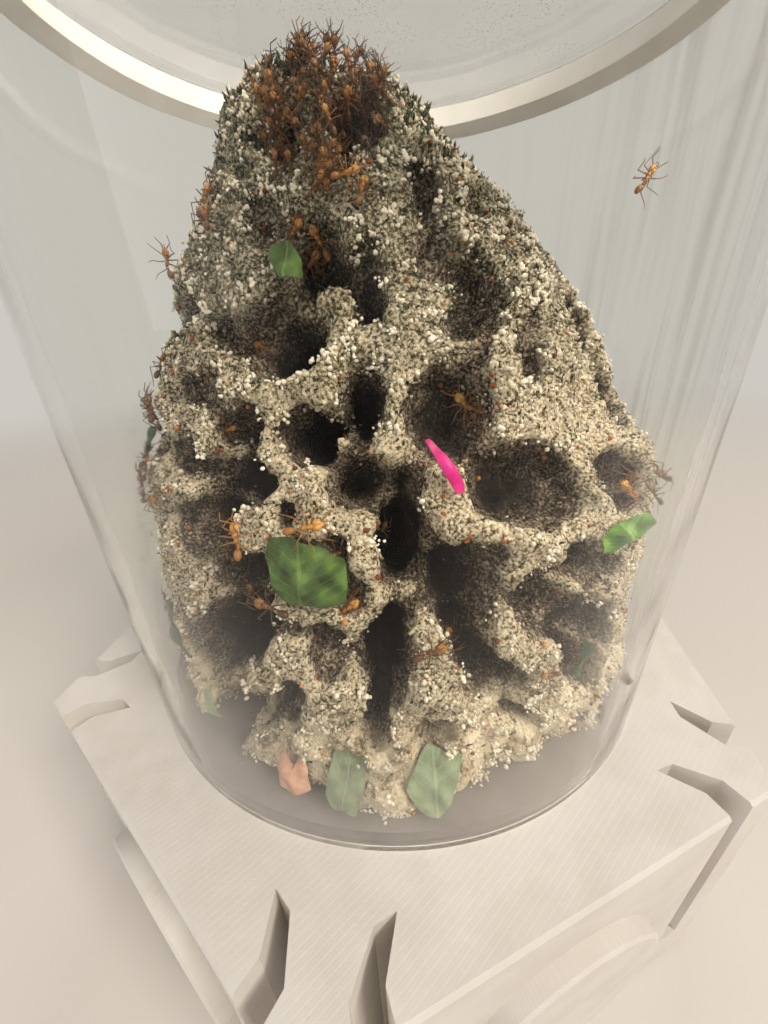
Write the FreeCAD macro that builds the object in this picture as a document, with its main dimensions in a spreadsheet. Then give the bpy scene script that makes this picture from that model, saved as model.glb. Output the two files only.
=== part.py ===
import FreeCAD, Part
import math
import os

import Sketcher

# Ant habitat for a leaf-cutter colony.  A clear round fungus chamber with a
# windowed lid stands on a tall hexagonal tile.  The tile's corners carry
# dovetail tongues for joining tiles, and each side has a tunnel port that a
# push-in plug closes.  A short passage joins the chamber's floor to the tunnels.
# Millimetres.  The origin is the centre of the tile's underside, +Z is up, and
# two of the tile's corners lie on the X axis.

SIDE_COUNT = 6
SIDE_ANGLE = 360.0 / SIDE_COUNT

# Sizes that several pieces share, worked out from the sheet.  An @ stands before
# the name of a driving dimension.
BUSH_RADIUS = "(@passage_radius + @bush_wall)"
FLANGE_RADIUS = "(@passage_radius + @bush_wall + @bush_flange_lap)"
GARDEN_RADIUS = "(@tube_radius - @tube_wall - @garden_side_gap)"
GARDEN_HEIGHT = "(@tube_length - @floor_thickness - @garden_air_space)"

# Two heights closer than this, in millimetres, are the same.
SAME_HEIGHT = 0.001
# The most of a solid's volume that a real cut leaves behind.
CUT_LEAVES = 0.9999

document = FreeCAD.newDocument("AntHabitat")
sheet = document.addObject("Spreadsheet::Sheet", "Sizes")

# Driving dimensions: name, millimetres, what it sets.
DRIVING_SIZES = (
    ("across_flats", 120.0, "tile, side to opposite side"),
    ("tile_height", 50.0, "tile, underside to top face"),
    ("tile_edge_break", 0.5, "small chamfer round the tile's top and bottom"),
    ("slot_depth", 39.0, "corner slots, down from the top face"),
    ("tongue_neck_half", 3.45, "corner tongue, half its width at the neck"),
    ("tongue_head_half", 5.0, "corner tongue, half its width at the side faces"),
    ("tongue_root_half", 5.0, "corner tongue, half its width where it leaves the tile"),
    ("neck_inset", 6.4, "neck, in from the corner's tip"),
    ("root_inset", 12.4, "tongue root, in from the corner's tip"),
    ("slot_mouth_half", 8.75, "outer wall of the slot at the side face, from the corner's line"),
    ("slot_bend_half", 7.0, "outer wall of the slot at its bend, from the corner's line"),
    ("slot_bend_inset", 8.1, "bend in the slot's outer wall, in from the corner's tip"),
    ("slot_end_half", 7.5, "inner end of the slot, from the corner's line"),
    ("slot_end_inset", 14.1, "inner end of the slot, in from the corner's tip"),
    ("port_height", 25.0, "centre of the side ports above the underside"),
    ("port_radius", 12.0, "bore of a side port"),
    ("port_depth", 10.0, "bore of a side port, in from the side face"),
    ("tunnel_radius", 6.0, "tunnels from the ports to the hall"),
    ("hall_radius", 13.0, "round hall where the tunnels meet"),
    ("hall_height", 14.0, "hall, floor to the foot of its conical roof"),
    ("plug_face_lap", 4.0, "plug, how far its face laps past the port all round"),
    ("plug_face_thickness", 2.4, "plug, how far its face stands off the tile"),
    ("plug_spigot_length", 8.0, "plug, part inside the port"),
    ("plug_gap", 0.08, "radial running gap between plug and port"),
    ("plug_edge_break", 0.4, "chamfer round the plug's face"),
    ("plug_lead", 1.0, "lead-in chamfer at the spigot's end"),
    ("tube_radius", 50.0, "chamber tube, outside"),
    ("tube_wall", 2.0, "chamber tube, wall"),
    ("tube_length", 100.0, "chamber tube, bottom to top"),
    ("tube_edge_break", 0.3, "chamfer on the tube's sawn ends"),
    ("floor_thickness", 3.0, "chamber floor"),
    ("cement_gap", 0.1, "radial gap filled with cement, or a light press fit"),
    ("passage_radius", 5.5, "bore of the passage bush"),
    ("bush_wall", 1.9, "passage bush, wall of its barrel"),
    ("bush_flange_lap", 2.1, "passage bush, how far its flange laps past the barrel"),
    ("bush_flange_thickness", 1.5, "passage bush, flange on the chamber floor"),
    ("bush_reach", 8.0, "passage bush, length of barrel inside the tile"),
    ("bush_gap", 0.08, "radial running gap between bush and tile"),
    ("lid_gap", 0.1, "radial gap between the lid's lip and the tube"),
    ("lip_drop", 1.8, "lid lip, how far it hangs inside the tube"),
    ("lip_nose_inset", 1.8, "lid lip, its innermost edge, in from its outside"),
    ("lip_nose_rise", 0.2, "lid lip, height of its innermost edge above the tube's top"),
    ("lid_seat_rise", 4.2, "ledge that carries the window, above the tube's top"),
    ("lid_overhang", 2.0, "lid ring, how far it stands out past the tube"),
    ("lid_rim_wall", 2.7, "lid ring, wall round the window"),
    ("lid_edge_break", 0.6, "chamfer round the outside of the lid ring"),
    ("window_thickness", 3.0, "clear window of the lid"),
    ("cut_overrun", 1.0, "how far a cut runs on past the face that it opens"),
    ("garden_clearance", 0.3, "what rests on the garden or under it stays this far off"),
    ("garden_side_gap", 3.5, "between the garden's widest section and the tube"),
    ("garden_air_space", 11.0, "between the garden's top and the tube's top edge"),
    ("entrance_gap", 1.5, "hollow under the garden, past the bush's flange"),
    ("entrance_height", 9.0, "that hollow, up from the garden's foot"),
    ("gallery_radius", 4.5, "tunnel from that hollow to the garden's outside"),
    ("gallery_height", 3.0, "the tunnel's axis, above the garden's foot"),
    ("leaf_thickness", 0.4, "leaf fragments and petal"),
    ("ant_length", 5.0, "worker ant, jaws to tail"),
    ("ant_girth", 0.8, "worker ant, half its width at the widest"),
)

# The garden's outline: name of each round section, its height as a share of the
# garden's height, and its radius and how far its centre lies off the axis as
# shares of the widest radius.
GARDEN_SECTIONS = (
    ("foot", 0.0, 0.984, 0.0),
    ("belly", 0.233, 1.0, 0.0),
    ("waist", 0.43, 0.944, 0.0),
    ("shoulder", 0.605, 0.793, 0.0),
    ("neck", 0.779, 0.625, 0.043),
    ("crown", 0.919, 0.434, 0.072),
    ("top", 1.0, 0.258, 0.108),
)
# The side to which the garden's upper part leans, as an angle about the axis.
GARDEN_LEAN_AZIMUTH = 158.0

# An ant's outline, tail first: how far along the ant each section is and how
# wide, as shares of its length and of its greatest width.
ANT_SECTIONS = ((0.0, 0.2), (0.22, 1.0), (0.42, 0.25), (0.58, 0.55), (0.7, 0.25), (0.84, 0.75), (1.0, 0.3))
ANT_FACETS = 4

# Leaf fragments and petals on the garden: name, width and height in millimetres,
# the angle about the garden's own middle where each lies, in degrees, and the
# height of its middle above the chamber floor, as a share of the garden's height.
GARDEN_PIECES = (
    ("leaf_piece_1", 10.0, 9.5, 236.0, 0.41),
    ("leaf_piece_2", 3.2, 3.5, 232.5, 0.75),
    ("leaf_piece_3", 7.0, 4.0, 291.0, 0.395),
    ("leaf_piece_4", 4.0, 4.2, 184.0, 0.505),
    ("leaf_piece_5", 3.0, 9.0, 207.0, 0.25),
    ("leaf_piece_6", 5.0, 9.0, 240.0, 0.065),
    ("leaf_piece_7", 8.0, 10.0, 254.0, 0.07),
    ("leaf_piece_8", 2.5, 5.0, 279.0, 0.236),
    ("leaf_piece_9", 2.5, 5.0, 214.0, 0.13),
    ("petal_piece", 2.2, 6.6, 256.5, 0.53),
    ("dry_leaf_piece", 5.0, 6.0, 230.0, 0.047),
)

# Worker ants on the garden: angle about its own middle, height above the chamber
# floor as a share of the garden's, and heading as an angle from straight up.
ANTS_ON_GARDEN = (
    (226.0, 0.972, 5.0), (242.0, 0.975, -10.0), (257.0, 0.965, 10.0), (211.0, 0.94, 25.0),
    (234.0, 0.9, -8.0), (244.0, 0.828, 20.0), (200.0, 0.83, 15.0), (206.0, 0.765, -10.0),
    (184.0, 0.615, -5.0), (188.0, 0.548, 25.0), (185.5, 0.455, 10.0), (240.0, 0.757, 40.0),
    (222.0, 0.563, -60.0), (226.5, 0.445, 8.0), (237.0, 0.482, -80.0), (246.0, 0.42, 60.0),
    (242.0, 0.343, -70.0), (247.5, 0.476, -40.0), (262.0, 0.59, 50.0), (283.0, 0.455, 70.0),
    (305.0, 0.41, -20.0), (253.0, 0.31, 65.0), (271.0, 0.233, 85.0), (30.0, 0.884, 0.0),
    (120.0, 0.767, 25.0), (60.0, 0.349, -25.0),
)

# Worker ants on the inside of the tube: angle about its axis, height and heading.
ANTS_ON_TUBE = (
    (231.0, 0.733, 10.0),
    (269.0, 0.779, -40.0),
)


def add_driving_sizes():
    # One row for each size: its name, its value and what it sets.
    rows = list(DRIVING_SIZES)
    for label, width, height, _azimuth, _share in GARDEN_PIECES:
        rows.append((label + "_width", width, label + ", across"))
        rows.append((label + "_height", height, label + ", up the garden"))
    for row, (alias, value, note) in enumerate(rows, start=1):
        sheet.set("A%d" % row, alias)
        sheet.set("B%d" % row, str(value))
        sheet.set("C%d" % row, note)
        sheet.setAlias("B%d" % row, alias)
    document.recompute()


def size(alias):
    return float(sheet.get(alias))


def sized(expression):
    # Names in an expression are the sheet's aliases, written with a leading @.
    return expression.replace("@", "Sizes.")


def value_of(expression):
    result = sheet.evalExpression(sized(expression))
    return float(getattr(result, "Value", result))


def add_body(label):
    body = document.addObject("PartDesign::Body", label)
    body.Label = label
    return body


def origin_feature(body, role):
    return [feature for feature in body.Origin.OriginFeatures if feature.Role == role][0]


def add_sketch(body, name, plane, offset=None):
    sketch = body.newObject("Sketcher::SketchObject", body.Label + "_" + name)
    sketch.AttachmentSupport = [(origin_feature(body, plane), "")]
    sketch.MapMode = "FlatFace"
    if offset is not None:
        sketch.setExpression("AttachmentOffset.Base.z", sized(offset))
    return sketch


def bind_coordinate(sketch, line, kind, axis, expression):
    # Ties one coordinate of a line's first point to the sketch's origin.
    value = value_of(expression)
    if expression == "0":
        sketch.addConstraint(Sketcher.Constraint("PointOnObject", line, 1, axis))
        return
    constraint = sketch.addConstraint(Sketcher.Constraint(kind, -1, 1, line, 1, value))
    sketch.setExpression("Constraints[%d]" % constraint, sized(expression))


def add_outline(sketch, corners):
    # A closed outline of straight lines through corners given as expressions.
    points = [FreeCAD.Vector(value_of(x), value_of(y), 0) for x, y in corners]
    first_line = sketch.GeometryCount
    count = len(points)
    for index in range(count):
        segment = Part.LineSegment(points[index], points[(index + 1) % count])
        sketch.addGeometry(segment, False)
    for index in range(count):
        line = first_line + index
        following = first_line + (index + 1) % count
        sketch.addConstraint(Sketcher.Constraint("Coincident", line, 2, following, 1))
    for index, (x, y) in enumerate(corners):
        bind_coordinate(sketch, first_line + index, "DistanceX", -2, x)
        bind_coordinate(sketch, first_line + index, "DistanceY", -1, y)


def add_circle(sketch, radius, height="0"):
    # A circle on the sketch's vertical axis.
    centre = FreeCAD.Vector(0, value_of(height), 0)
    circle = sketch.addGeometry(Part.Circle(centre, FreeCAD.Vector(0, 0, 1), value_of(radius)), False)
    constraint = sketch.addConstraint(Sketcher.Constraint("Radius", circle, value_of(radius)))
    sketch.setExpression("Constraints[%d]" % constraint, sized(radius))
    sketch.addConstraint(Sketcher.Constraint("PointOnObject", circle, 3, -2))
    if height == "0":
        sketch.addConstraint(Sketcher.Constraint("PointOnObject", circle, 3, -1))
        return
    constraint = sketch.addConstraint(Sketcher.Constraint("DistanceY", -1, 1, circle, 3, value_of(height)))
    sketch.setExpression("Constraints[%d]" % constraint, sized(height))


def add_revolved(body, name, corners, cut=False):
    # Turns an outline of radius and height about the body's Z axis.
    sketch = add_sketch(body, name + "_profile", "XZ_Plane")
    add_outline(sketch, corners)
    kind = "PartDesign::Groove" if cut else "PartDesign::Revolution"
    feature = body.newObject(kind, body.Label + "_" + name)
    feature.Profile = sketch
    feature.ReferenceAxis = (sketch, ["V_Axis"])
    feature.Angle = 360.0
    return feature


def add_pocket(body, name, sketch, length, reverse=False):
    pocket = body.newObject("PartDesign::Pocket", body.Label + "_" + name)
    pocket.Profile = sketch
    pocket.setExpression("Length", sized(length))
    pocket.Reversed = reverse
    return pocket


def add_polar_pattern(body, name, features):
    pattern = body.newObject("PartDesign::PolarPattern", body.Label + "_" + name)
    pattern.Originals = features
    pattern.Axis = (origin_feature(body, "Z_Axis"), [""])
    pattern.Angle = 360.0
    pattern.Occurrences = SIDE_COUNT
    body.Tip = pattern
    return pattern


def edges_at_heights(feature, heights):
    # Names of the edges that lie flat at one of the given heights.
    names = []
    for number, edge in enumerate(feature.Shape.Edges, start=1):
        box = edge.BoundBox
        flat = box.ZLength < SAME_HEIGHT
        if flat and any(abs(box.ZMin - height) < SAME_HEIGHT for height in heights):
            names.append("Edge%d" % number)
    return names


def add_chamfer(body, name, feature, edges, width):
    chamfer = body.newObject("PartDesign::Chamfer", body.Label + "_" + name)
    chamfer.Base = (feature, edges)
    chamfer.setExpression("Size", sized(width))
    return chamfer


def must_remove(feature, earlier, name):
    # A cut that points away from the solid leaves its volume as it was.
    if feature.Shape.Volume > CUT_LEAVES * earlier.Shape.Volume:
        raise RuntimeError(name + " cut nothing")


def build_base_tile():
    # A hexagonal prism.  Its corner slots leave a dovetail tongue at each
    # corner; ports, tunnels, hall and well are the ants' ways through it.
    body = add_body("base_tile")
    corner = "@across_flats / sqrt(3)"
    half_corner = "@across_flats / sqrt(12)"
    half_flats = "@across_flats / 2"
    outline = add_sketch(body, "outline", "XY_Plane")
    add_outline(outline, (
        (corner, "0"),
        (half_corner, half_flats),
        ("-" + half_corner, half_flats),
        ("-" + corner, "0"),
        ("-" + half_corner, "-" + half_flats),
        (half_corner, "-" + half_flats),
    ))
    block = body.newObject("PartDesign::Pad", "base_tile_block")
    block.Profile = outline
    block.setExpression("Length", sized("@tile_height"))
    document.recompute()
    rims = edges_at_heights(block, (0.0, size("tile_height")))
    broken = add_chamfer(body, "edge_break", block, rims, "@tile_edge_break")
    document.recompute()
    slots = build_corner_slots(body, corner, broken)
    ports = build_ports(body, half_flats, slots)
    build_hall(body, ports)
    return body


def build_corner_slots(body, corner, earlier):
    # Two dog-leg slots beside the tongue on the +X corner, then all corners.
    beyond = corner + " + @cut_overrun"
    head_inset = "@tongue_head_half / sqrt(3)"
    mouth_inset = "@slot_mouth_half / sqrt(3)"
    sketch = add_sketch(body, "corner_slots", "XY_Plane", "@tile_height")
    for sign in ("", "-"):
        add_outline(sketch, (
            (corner + " - @root_inset", sign + "@tongue_root_half"),
            (corner + " - @neck_inset", sign + "@tongue_neck_half"),
            (corner + " - " + head_inset, sign + "@tongue_head_half"),
            (beyond, sign + "@tongue_head_half"),
            (beyond, sign + "@slot_mouth_half"),
            (corner + " - " + mouth_inset, sign + "@slot_mouth_half"),
            (corner + " - @slot_bend_inset", sign + "@slot_bend_half"),
            (corner + " - @slot_end_inset", sign + "@slot_end_half"),
        ))
    slots = add_pocket(body, "slots", sketch, "@slot_depth")
    document.recompute()
    must_remove(slots, earlier, "corner slots")
    pattern = add_polar_pattern(body, "all_slots", [slots])
    document.recompute()
    return pattern


def build_ports(body, half_flats, earlier):
    # Port and tunnel of the +Y side, then all sides.
    port_sketch = add_sketch(body, "port_circle", "XZ_Plane", "-" + half_flats)
    add_circle(port_sketch, "@port_radius", "@port_height")
    port = add_pocket(body, "port", port_sketch, "@port_depth", True)
    document.recompute()
    must_remove(port, earlier, "port")
    tunnel_sketch = add_sketch(body, "tunnel_circle", "XZ_Plane")
    add_circle(tunnel_sketch, "@tunnel_radius", "@port_height")
    tunnel = add_pocket(body, "tunnel", tunnel_sketch, half_flats)
    document.recompute()
    must_remove(tunnel, port, "tunnel")
    pattern = add_polar_pattern(body, "all_ports", [port, tunnel])
    document.recompute()
    return pattern


def build_hall(body, earlier):
    # The hall's roof is a 45 degree cone, which needs no support when printed.
    well = BUSH_RADIUS + " + @bush_gap"
    hall_floor = "@port_height - @hall_height / 2"
    roof_foot = "@port_height + @hall_height / 2"
    roof_top = roof_foot + " + @hall_radius - " + BUSH_RADIUS + " - @bush_gap"
    hall = add_revolved(body, "hall", (
        ("0", hall_floor),
        ("@hall_radius", hall_floor),
        ("@hall_radius", roof_foot),
        (well, roof_top),
        (well, "@tile_height + @cut_overrun"),
        ("0", "@tile_height + @cut_overrun"),
    ), cut=True)
    document.recompute()
    must_remove(hall, earlier, "hall")


def build_port_plug(number):
    # Modelled with its face outwards along +Z, then turned to its side.
    body = add_body("port_plug_%d" % number)
    spigot = "@port_radius - @plug_gap"
    face = "@port_radius + @plug_face_lap"
    add_revolved(body, "turned", (
        ("0", "-@plug_spigot_length"),
        (spigot + " - @plug_lead", "-@plug_spigot_length"),
        (spigot, "@plug_lead - @plug_spigot_length"),
        (spigot, "0"),
        (face, "0"),
        (face, "@plug_face_thickness - @plug_edge_break"),
        (face + " - @plug_edge_break", "@plug_face_thickness"),
        ("0", "@plug_face_thickness"),
    ))
    azimuth = SIDE_ANGLE * (number - 0.5)
    upright = FreeCAD.Rotation(FreeCAD.Vector(0, 1, 0), 90)
    turned = FreeCAD.Rotation(FreeCAD.Vector(0, 0, 1), azimuth)
    body.Placement = FreeCAD.Placement(FreeCAD.Vector(0, 0, 0), turned.multiply(upright))
    body.setExpression("Placement.Base.x", sized("@across_flats / 2 * cos(%g deg)" % azimuth))
    body.setExpression("Placement.Base.y", sized("@across_flats / 2 * sin(%g deg)" % azimuth))
    body.setExpression("Placement.Base.z", sized("@port_height"))
    return body


def build_chamber_tube():
    body = add_body("chamber_tube")
    inside = "@tube_radius - @tube_wall"
    add_revolved(body, "turned", (
        (inside + " + @tube_edge_break", "0"),
        ("@tube_radius - @tube_edge_break", "0"),
        ("@tube_radius", "@tube_edge_break"),
        ("@tube_radius", "@tube_length - @tube_edge_break"),
        ("@tube_radius - @tube_edge_break", "@tube_length"),
        (inside + " + @tube_edge_break", "@tube_length"),
        (inside, "@tube_length - @tube_edge_break"),
        (inside, "@tube_edge_break"),
    ))
    body.setExpression("Placement.Base.z", sized("@tile_height"))
    return body


def build_chamber_floor():
    body = add_body("chamber_floor")
    rim = "@tube_radius - @tube_wall - @cement_gap"
    hole = BUSH_RADIUS + " + @cement_gap"
    add_revolved(body, "turned", (
        (hole, "0"),
        (rim, "0"),
        (rim, "@floor_thickness"),
        (hole, "@floor_thickness"),
    ))
    body.setExpression("Placement.Base.z", sized("@tile_height"))
    return body


def build_passage_bush():
    # A flanged bush: it locates the chamber on the tile and is the ants' door.
    body = add_body("passage_bush")
    lead = "@bush_flange_thickness / 3"
    add_revolved(body, "turned", (
        ("@passage_radius", "-@bush_reach"),
        (BUSH_RADIUS + " - " + lead, "-@bush_reach"),
        (BUSH_RADIUS, lead + " - @bush_reach"),
        (BUSH_RADIUS, "@floor_thickness"),
        (FLANGE_RADIUS, "@floor_thickness"),
        (FLANGE_RADIUS, "@floor_thickness + @bush_flange_thickness - " + lead),
        (FLANGE_RADIUS + " - " + lead, "@floor_thickness + @bush_flange_thickness"),
        ("@passage_radius", "@floor_thickness + @bush_flange_thickness"),
    ))
    body.setExpression("Placement.Base.z", sized("@tile_height"))
    return body


def build_lid_ring():
    # A ring that sits on the tube's top.  Its lip hangs inside the tube and is
    # undercut, and a rebate in its top holds the window.
    body = add_body("lid_ring")
    lip_outside = "@tube_radius - @tube_wall - @lid_gap"
    rim = "@tube_radius + @lid_overhang"
    top = "@lid_seat_rise + @window_thickness"
    add_revolved(body, "turned", (
        (lip_outside, "-@lip_drop"),
        (lip_outside, "0"),
        (rim, "0"),
        (rim, top + " - @lid_edge_break"),
        (rim + " - @lid_edge_break", top),
        (rim + " - @lid_rim_wall", top),
        (rim + " - @lid_rim_wall", "@lid_seat_rise"),
        (lip_outside, "@lid_seat_rise"),
        (lip_outside + " - @lip_nose_inset", "@lip_nose_rise"),
    ))
    body.setExpression("Placement.Base.z", sized("@tile_height + @tube_length"))
    return body


def build_lid_window():
    body = add_body("lid_window")
    rim = "@tube_radius + @lid_overhang - @lid_rim_wall - @cement_gap"
    edge = "@tube_edge_break"
    add_revolved(body, "turned", (
        ("0", "0"),
        (rim, "0"),
        (rim, "@window_thickness - " + edge),
        (rim + " - " + edge, "@window_thickness"),
        ("0", "@window_thickness"),
    ))
    body.setExpression("Placement.Base.z", sized("@tile_height + @tube_length + @lid_seat_rise"))
    return body


def build_fungus_garden():
    # The living fungus, as a plain lump of its real outline: straight-sided
    # between round sections, hollow over the passage, with one tunnel outwards.
    body = add_body("fungus_garden")
    sections = []
    for name, rise_share, radius_share, drift_share in GARDEN_SECTIONS:
        sketch = add_sketch(body, name, "XY_Plane", "%g * %s" % (rise_share, GARDEN_HEIGHT))
        for axis, turn in (("x", "cos"), ("y", "sin")):
            drift = "%g * %s * %s(%g deg)" % (drift_share, GARDEN_RADIUS, turn, GARDEN_LEAN_AZIMUTH)
            sketch.setExpression("AttachmentOffset.Base." + axis, sized(drift))
        add_circle(sketch, "%g * %s" % (radius_share, GARDEN_RADIUS))
        sections.append(sketch)
    lump = body.newObject("PartDesign::AdditiveLoft", "fungus_garden_lump")
    lump.Profile = sections[0]
    lump.Sections = sections[1:]
    lump.Ruled = True
    document.recompute()
    hollow = FLANGE_RADIUS + " + @entrance_gap"
    entrance = add_revolved(body, "entrance", (
        ("0", "-@cut_overrun"),
        (hollow, "-@cut_overrun"),
        (hollow, "@entrance_height / 2"),
        ("0", "@entrance_height"),
    ), cut=True)
    document.recompute()
    must_remove(entrance, lump, "garden entrance")
    sketch = add_sketch(body, "gallery_circle", "XZ_Plane")
    add_circle(sketch, "@gallery_radius", "@gallery_height")
    gallery = add_pocket(body, "gallery", sketch, GARDEN_RADIUS + " + @cut_overrun")
    document.recompute()
    must_remove(gallery, entrance, "garden gallery")
    body.setExpression("Placement.Base.z", sized("@tile_height + @floor_thickness + @garden_clearance"))
    return body


def garden_wall(azimuth, height):
    # The garden's wall at a height above the chamber floor, on the side that
    # faces the azimuth: how far out it is from the axis, how far aside of the
    # line that runs out from there, and how far it leans in, in degrees.
    lump_height = value_of(GARDEN_HEIGHT)
    lump_radius = value_of(GARDEN_RADIUS)
    share = (height - size("garden_clearance")) / lump_height
    place = 1
    while GARDEN_SECTIONS[place][1] < share and place < len(GARDEN_SECTIONS) - 1:
        place += 1
    low_share, low_radius, low_drift = GARDEN_SECTIONS[place - 1][1:]
    high_share, high_radius, high_drift = GARDEN_SECTIONS[place][1:]
    part = (share - low_share) / (high_share - low_share)
    lean_way = math.radians(GARDEN_LEAN_AZIMUTH - azimuth)
    low_out = low_radius + low_drift * math.cos(lean_way)
    high_out = high_radius + high_drift * math.cos(lean_way)
    out = lump_radius * (low_out + part * (high_out - low_out))
    aside = lump_radius * (low_drift + part * (high_drift - low_drift)) * math.sin(lean_way)
    slope = lump_radius * (high_out - low_out) / (lump_height * (high_share - low_share))
    return out, aside, math.degrees(math.atan(-slope))


def turned_about_axis(azimuth, local):
    about_axis = FreeCAD.Rotation(FreeCAD.Vector(0, 0, 1), azimuth)
    return FreeCAD.Placement(FreeCAD.Vector(0, 0, 0), about_axis).multiply(local)


def seat_on_garden(azimuth, height_share, reach, heading):
    # Placement whose +Z points out of the garden's wall and whose +Y points up
    # it, turned by the heading.  A piece leans with the wall at its middle and
    # stands off as far as the wall bulges between its two ends, and a piece at
    # the garden's foot stays clear of the chamber floor.
    height = max(height_share * value_of(GARDEN_HEIGHT), reach + size("garden_clearance"))
    out, aside, lean = garden_wall(azimuth, height)
    rise = math.cos(math.radians(lean))
    run = math.sin(math.radians(lean))
    bulge = 0.0
    for step in (-1.0, -0.5, 0.5, 1.0):
        wall_out = garden_wall(azimuth, height + step * reach * rise)[0]
        plate_out = out - step * reach * run
        bulge = max(bulge, (wall_out - plate_out) * rise)
    foot = FreeCAD.Vector(out, aside, height + size("tile_height") + size("floor_thickness"))
    centre = foot + FreeCAD.Vector(rise, 0, run) * (size("garden_clearance") + bulge)
    outward = FreeCAD.Rotation(FreeCAD.Vector(0, 1, 0), 90 - lean)
    headed = FreeCAD.Rotation(FreeCAD.Vector(0, 0, 1), 90 + heading)
    return turned_about_axis(azimuth, FreeCAD.Placement(centre, outward.multiply(headed)))


def seat_on_tube(azimuth, height_share, heading):
    # The same on the tube's inner wall, with +Z pointing in.  The wall curves,
    # so an ant across it touches at its two ends.
    inside = size("tube_radius") - size("tube_wall")
    half_width = size("ant_length") / 2 * abs(math.sin(math.radians(heading))) + size("ant_girth")
    curve_gap = inside - math.sqrt(inside ** 2 - half_width ** 2)
    height = height_share * value_of(GARDEN_HEIGHT) + size("tile_height") + size("floor_thickness")
    centre = FreeCAD.Vector(inside - size("garden_clearance") - curve_gap, 0, height)
    inward = FreeCAD.Rotation(FreeCAD.Vector(0, 1, 0), -90)
    headed = FreeCAD.Rotation(FreeCAD.Vector(0, 0, 1), heading - 90)
    return turned_about_axis(azimuth, FreeCAD.Placement(centre, inward.multiply(headed)))


def build_garden_piece(label, azimuth, height_share):
    # A thin oval cut from a leaf or a petal, flat against the garden's wall.
    width = "@%s_width" % label
    height = "@%s_height" % label
    outline = document.addObject("Part::Ellipse", label + "_outline")
    outline.setExpression("MajorRadius", sized("max(%s; %s) / 2" % (width, height)))
    outline.setExpression("MinorRadius", sized("min(%s; %s) / 2" % (width, height)))
    upright = 90 if value_of(height) > value_of(width) else 0
    outline.Placement.Rotation = FreeCAD.Rotation(FreeCAD.Vector(0, 0, 1), upright)
    piece = document.addObject("Part::Extrusion", label)
    piece.Label = label
    piece.Base = outline
    piece.DirMode = "Custom"
    piece.Dir = FreeCAD.Vector(0, 0, 1)
    piece.setExpression("LengthFwd", sized("@leaf_thickness"))
    piece.Solid = True
    piece.Placement = seat_on_garden(azimuth, height_share, value_of(height) / 2, 0.0)
    return piece


def build_ant_pattern():
    # One ant along +Z, tail first, which the others copy.
    sections = []
    for along, width in ANT_SECTIONS:
        section = document.addObject("Part::RegularPolygon", "ant_section")
        section.Polygon = ANT_FACETS
        section.setExpression("Circumradius", sized("%g * @ant_girth" % width))
        section.setExpression("Placement.Base.z", sized("%g * @ant_length" % along))
        sections.append(section)
    pattern = document.addObject("Part::Loft", "ant_pattern")
    pattern.Sections = sections
    pattern.Solid = True
    pattern.Ruled = True
    document.recompute()
    return pattern


def add_ant(pattern, number, seat):
    # Laid along the seat's +Y with its head first.
    ant = document.addObject("Part::Feature", "ant_%02d" % number)
    ant.Shape = pattern.Shape
    along = FreeCAD.Rotation(FreeCAD.Vector(1, 0, 0), -90)
    tail = FreeCAD.Vector(0, -size("ant_length") / 2, size("ant_girth"))
    ant.Placement = seat.multiply(FreeCAD.Placement(tail, along))
    return ant


def build_worker_ants():
    # All the ants are one group of separate solids.
    reach = size("ant_length") / 2
    seats = [seat_on_garden(azimuth, share, reach, heading) for azimuth, share, heading in ANTS_ON_GARDEN]
    seats += [seat_on_tube(azimuth, share, heading) for azimuth, share, heading in ANTS_ON_TUBE]
    pattern = build_ant_pattern()
    group = document.addObject("Part::Compound", "worker_ants")
    group.Label = "worker_ants"
    group.Links = [add_ant(pattern, number, seat) for number, seat in enumerate(seats, start=1)]
    return group


def check_document():
    for item in document.Objects:
        if "Invalid" in item.State or "Error" in item.State:
            raise RuntimeError("%s failed: %s" % (item.Label, item.State))


def write_parts(parts):
    for part in parts:
        shape = part.Shape
        if shape.isNull() or not shape.isValid() or not shape.Solids:
            raise RuntimeError(part.Label + " has no valid solid")
    os.makedirs("parts", exist_ok=True)
    for part in parts:
        part.Shape.exportStep("parts/%s.step" % part.Label)
        print("%-16s %2d solids %10.1f mm3" % (part.Label, len(part.Shape.Solids), part.Shape.Volume))


add_driving_sizes()
sub_parts = [build_base_tile()]
for plug_number in range(1, SIDE_COUNT + 1):
    sub_parts.append(build_port_plug(plug_number))
sub_parts.append(build_chamber_tube())
sub_parts.append(build_chamber_floor())
sub_parts.append(build_passage_bush())
sub_parts.append(build_lid_ring())
sub_parts.append(build_lid_window())
sub_parts.append(build_fungus_garden())
for garden_piece in GARDEN_PIECES:
    sub_parts.append(build_garden_piece(garden_piece[0], garden_piece[3], garden_piece[4]))
sub_parts.append(build_worker_ants())
document.recompute()
check_document()
write_parts(sub_parts)
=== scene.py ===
import math
import bpy
import numpy as np
from mathutils import Matrix, Vector
from mathutils.bvhtree import BVHTree


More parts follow.
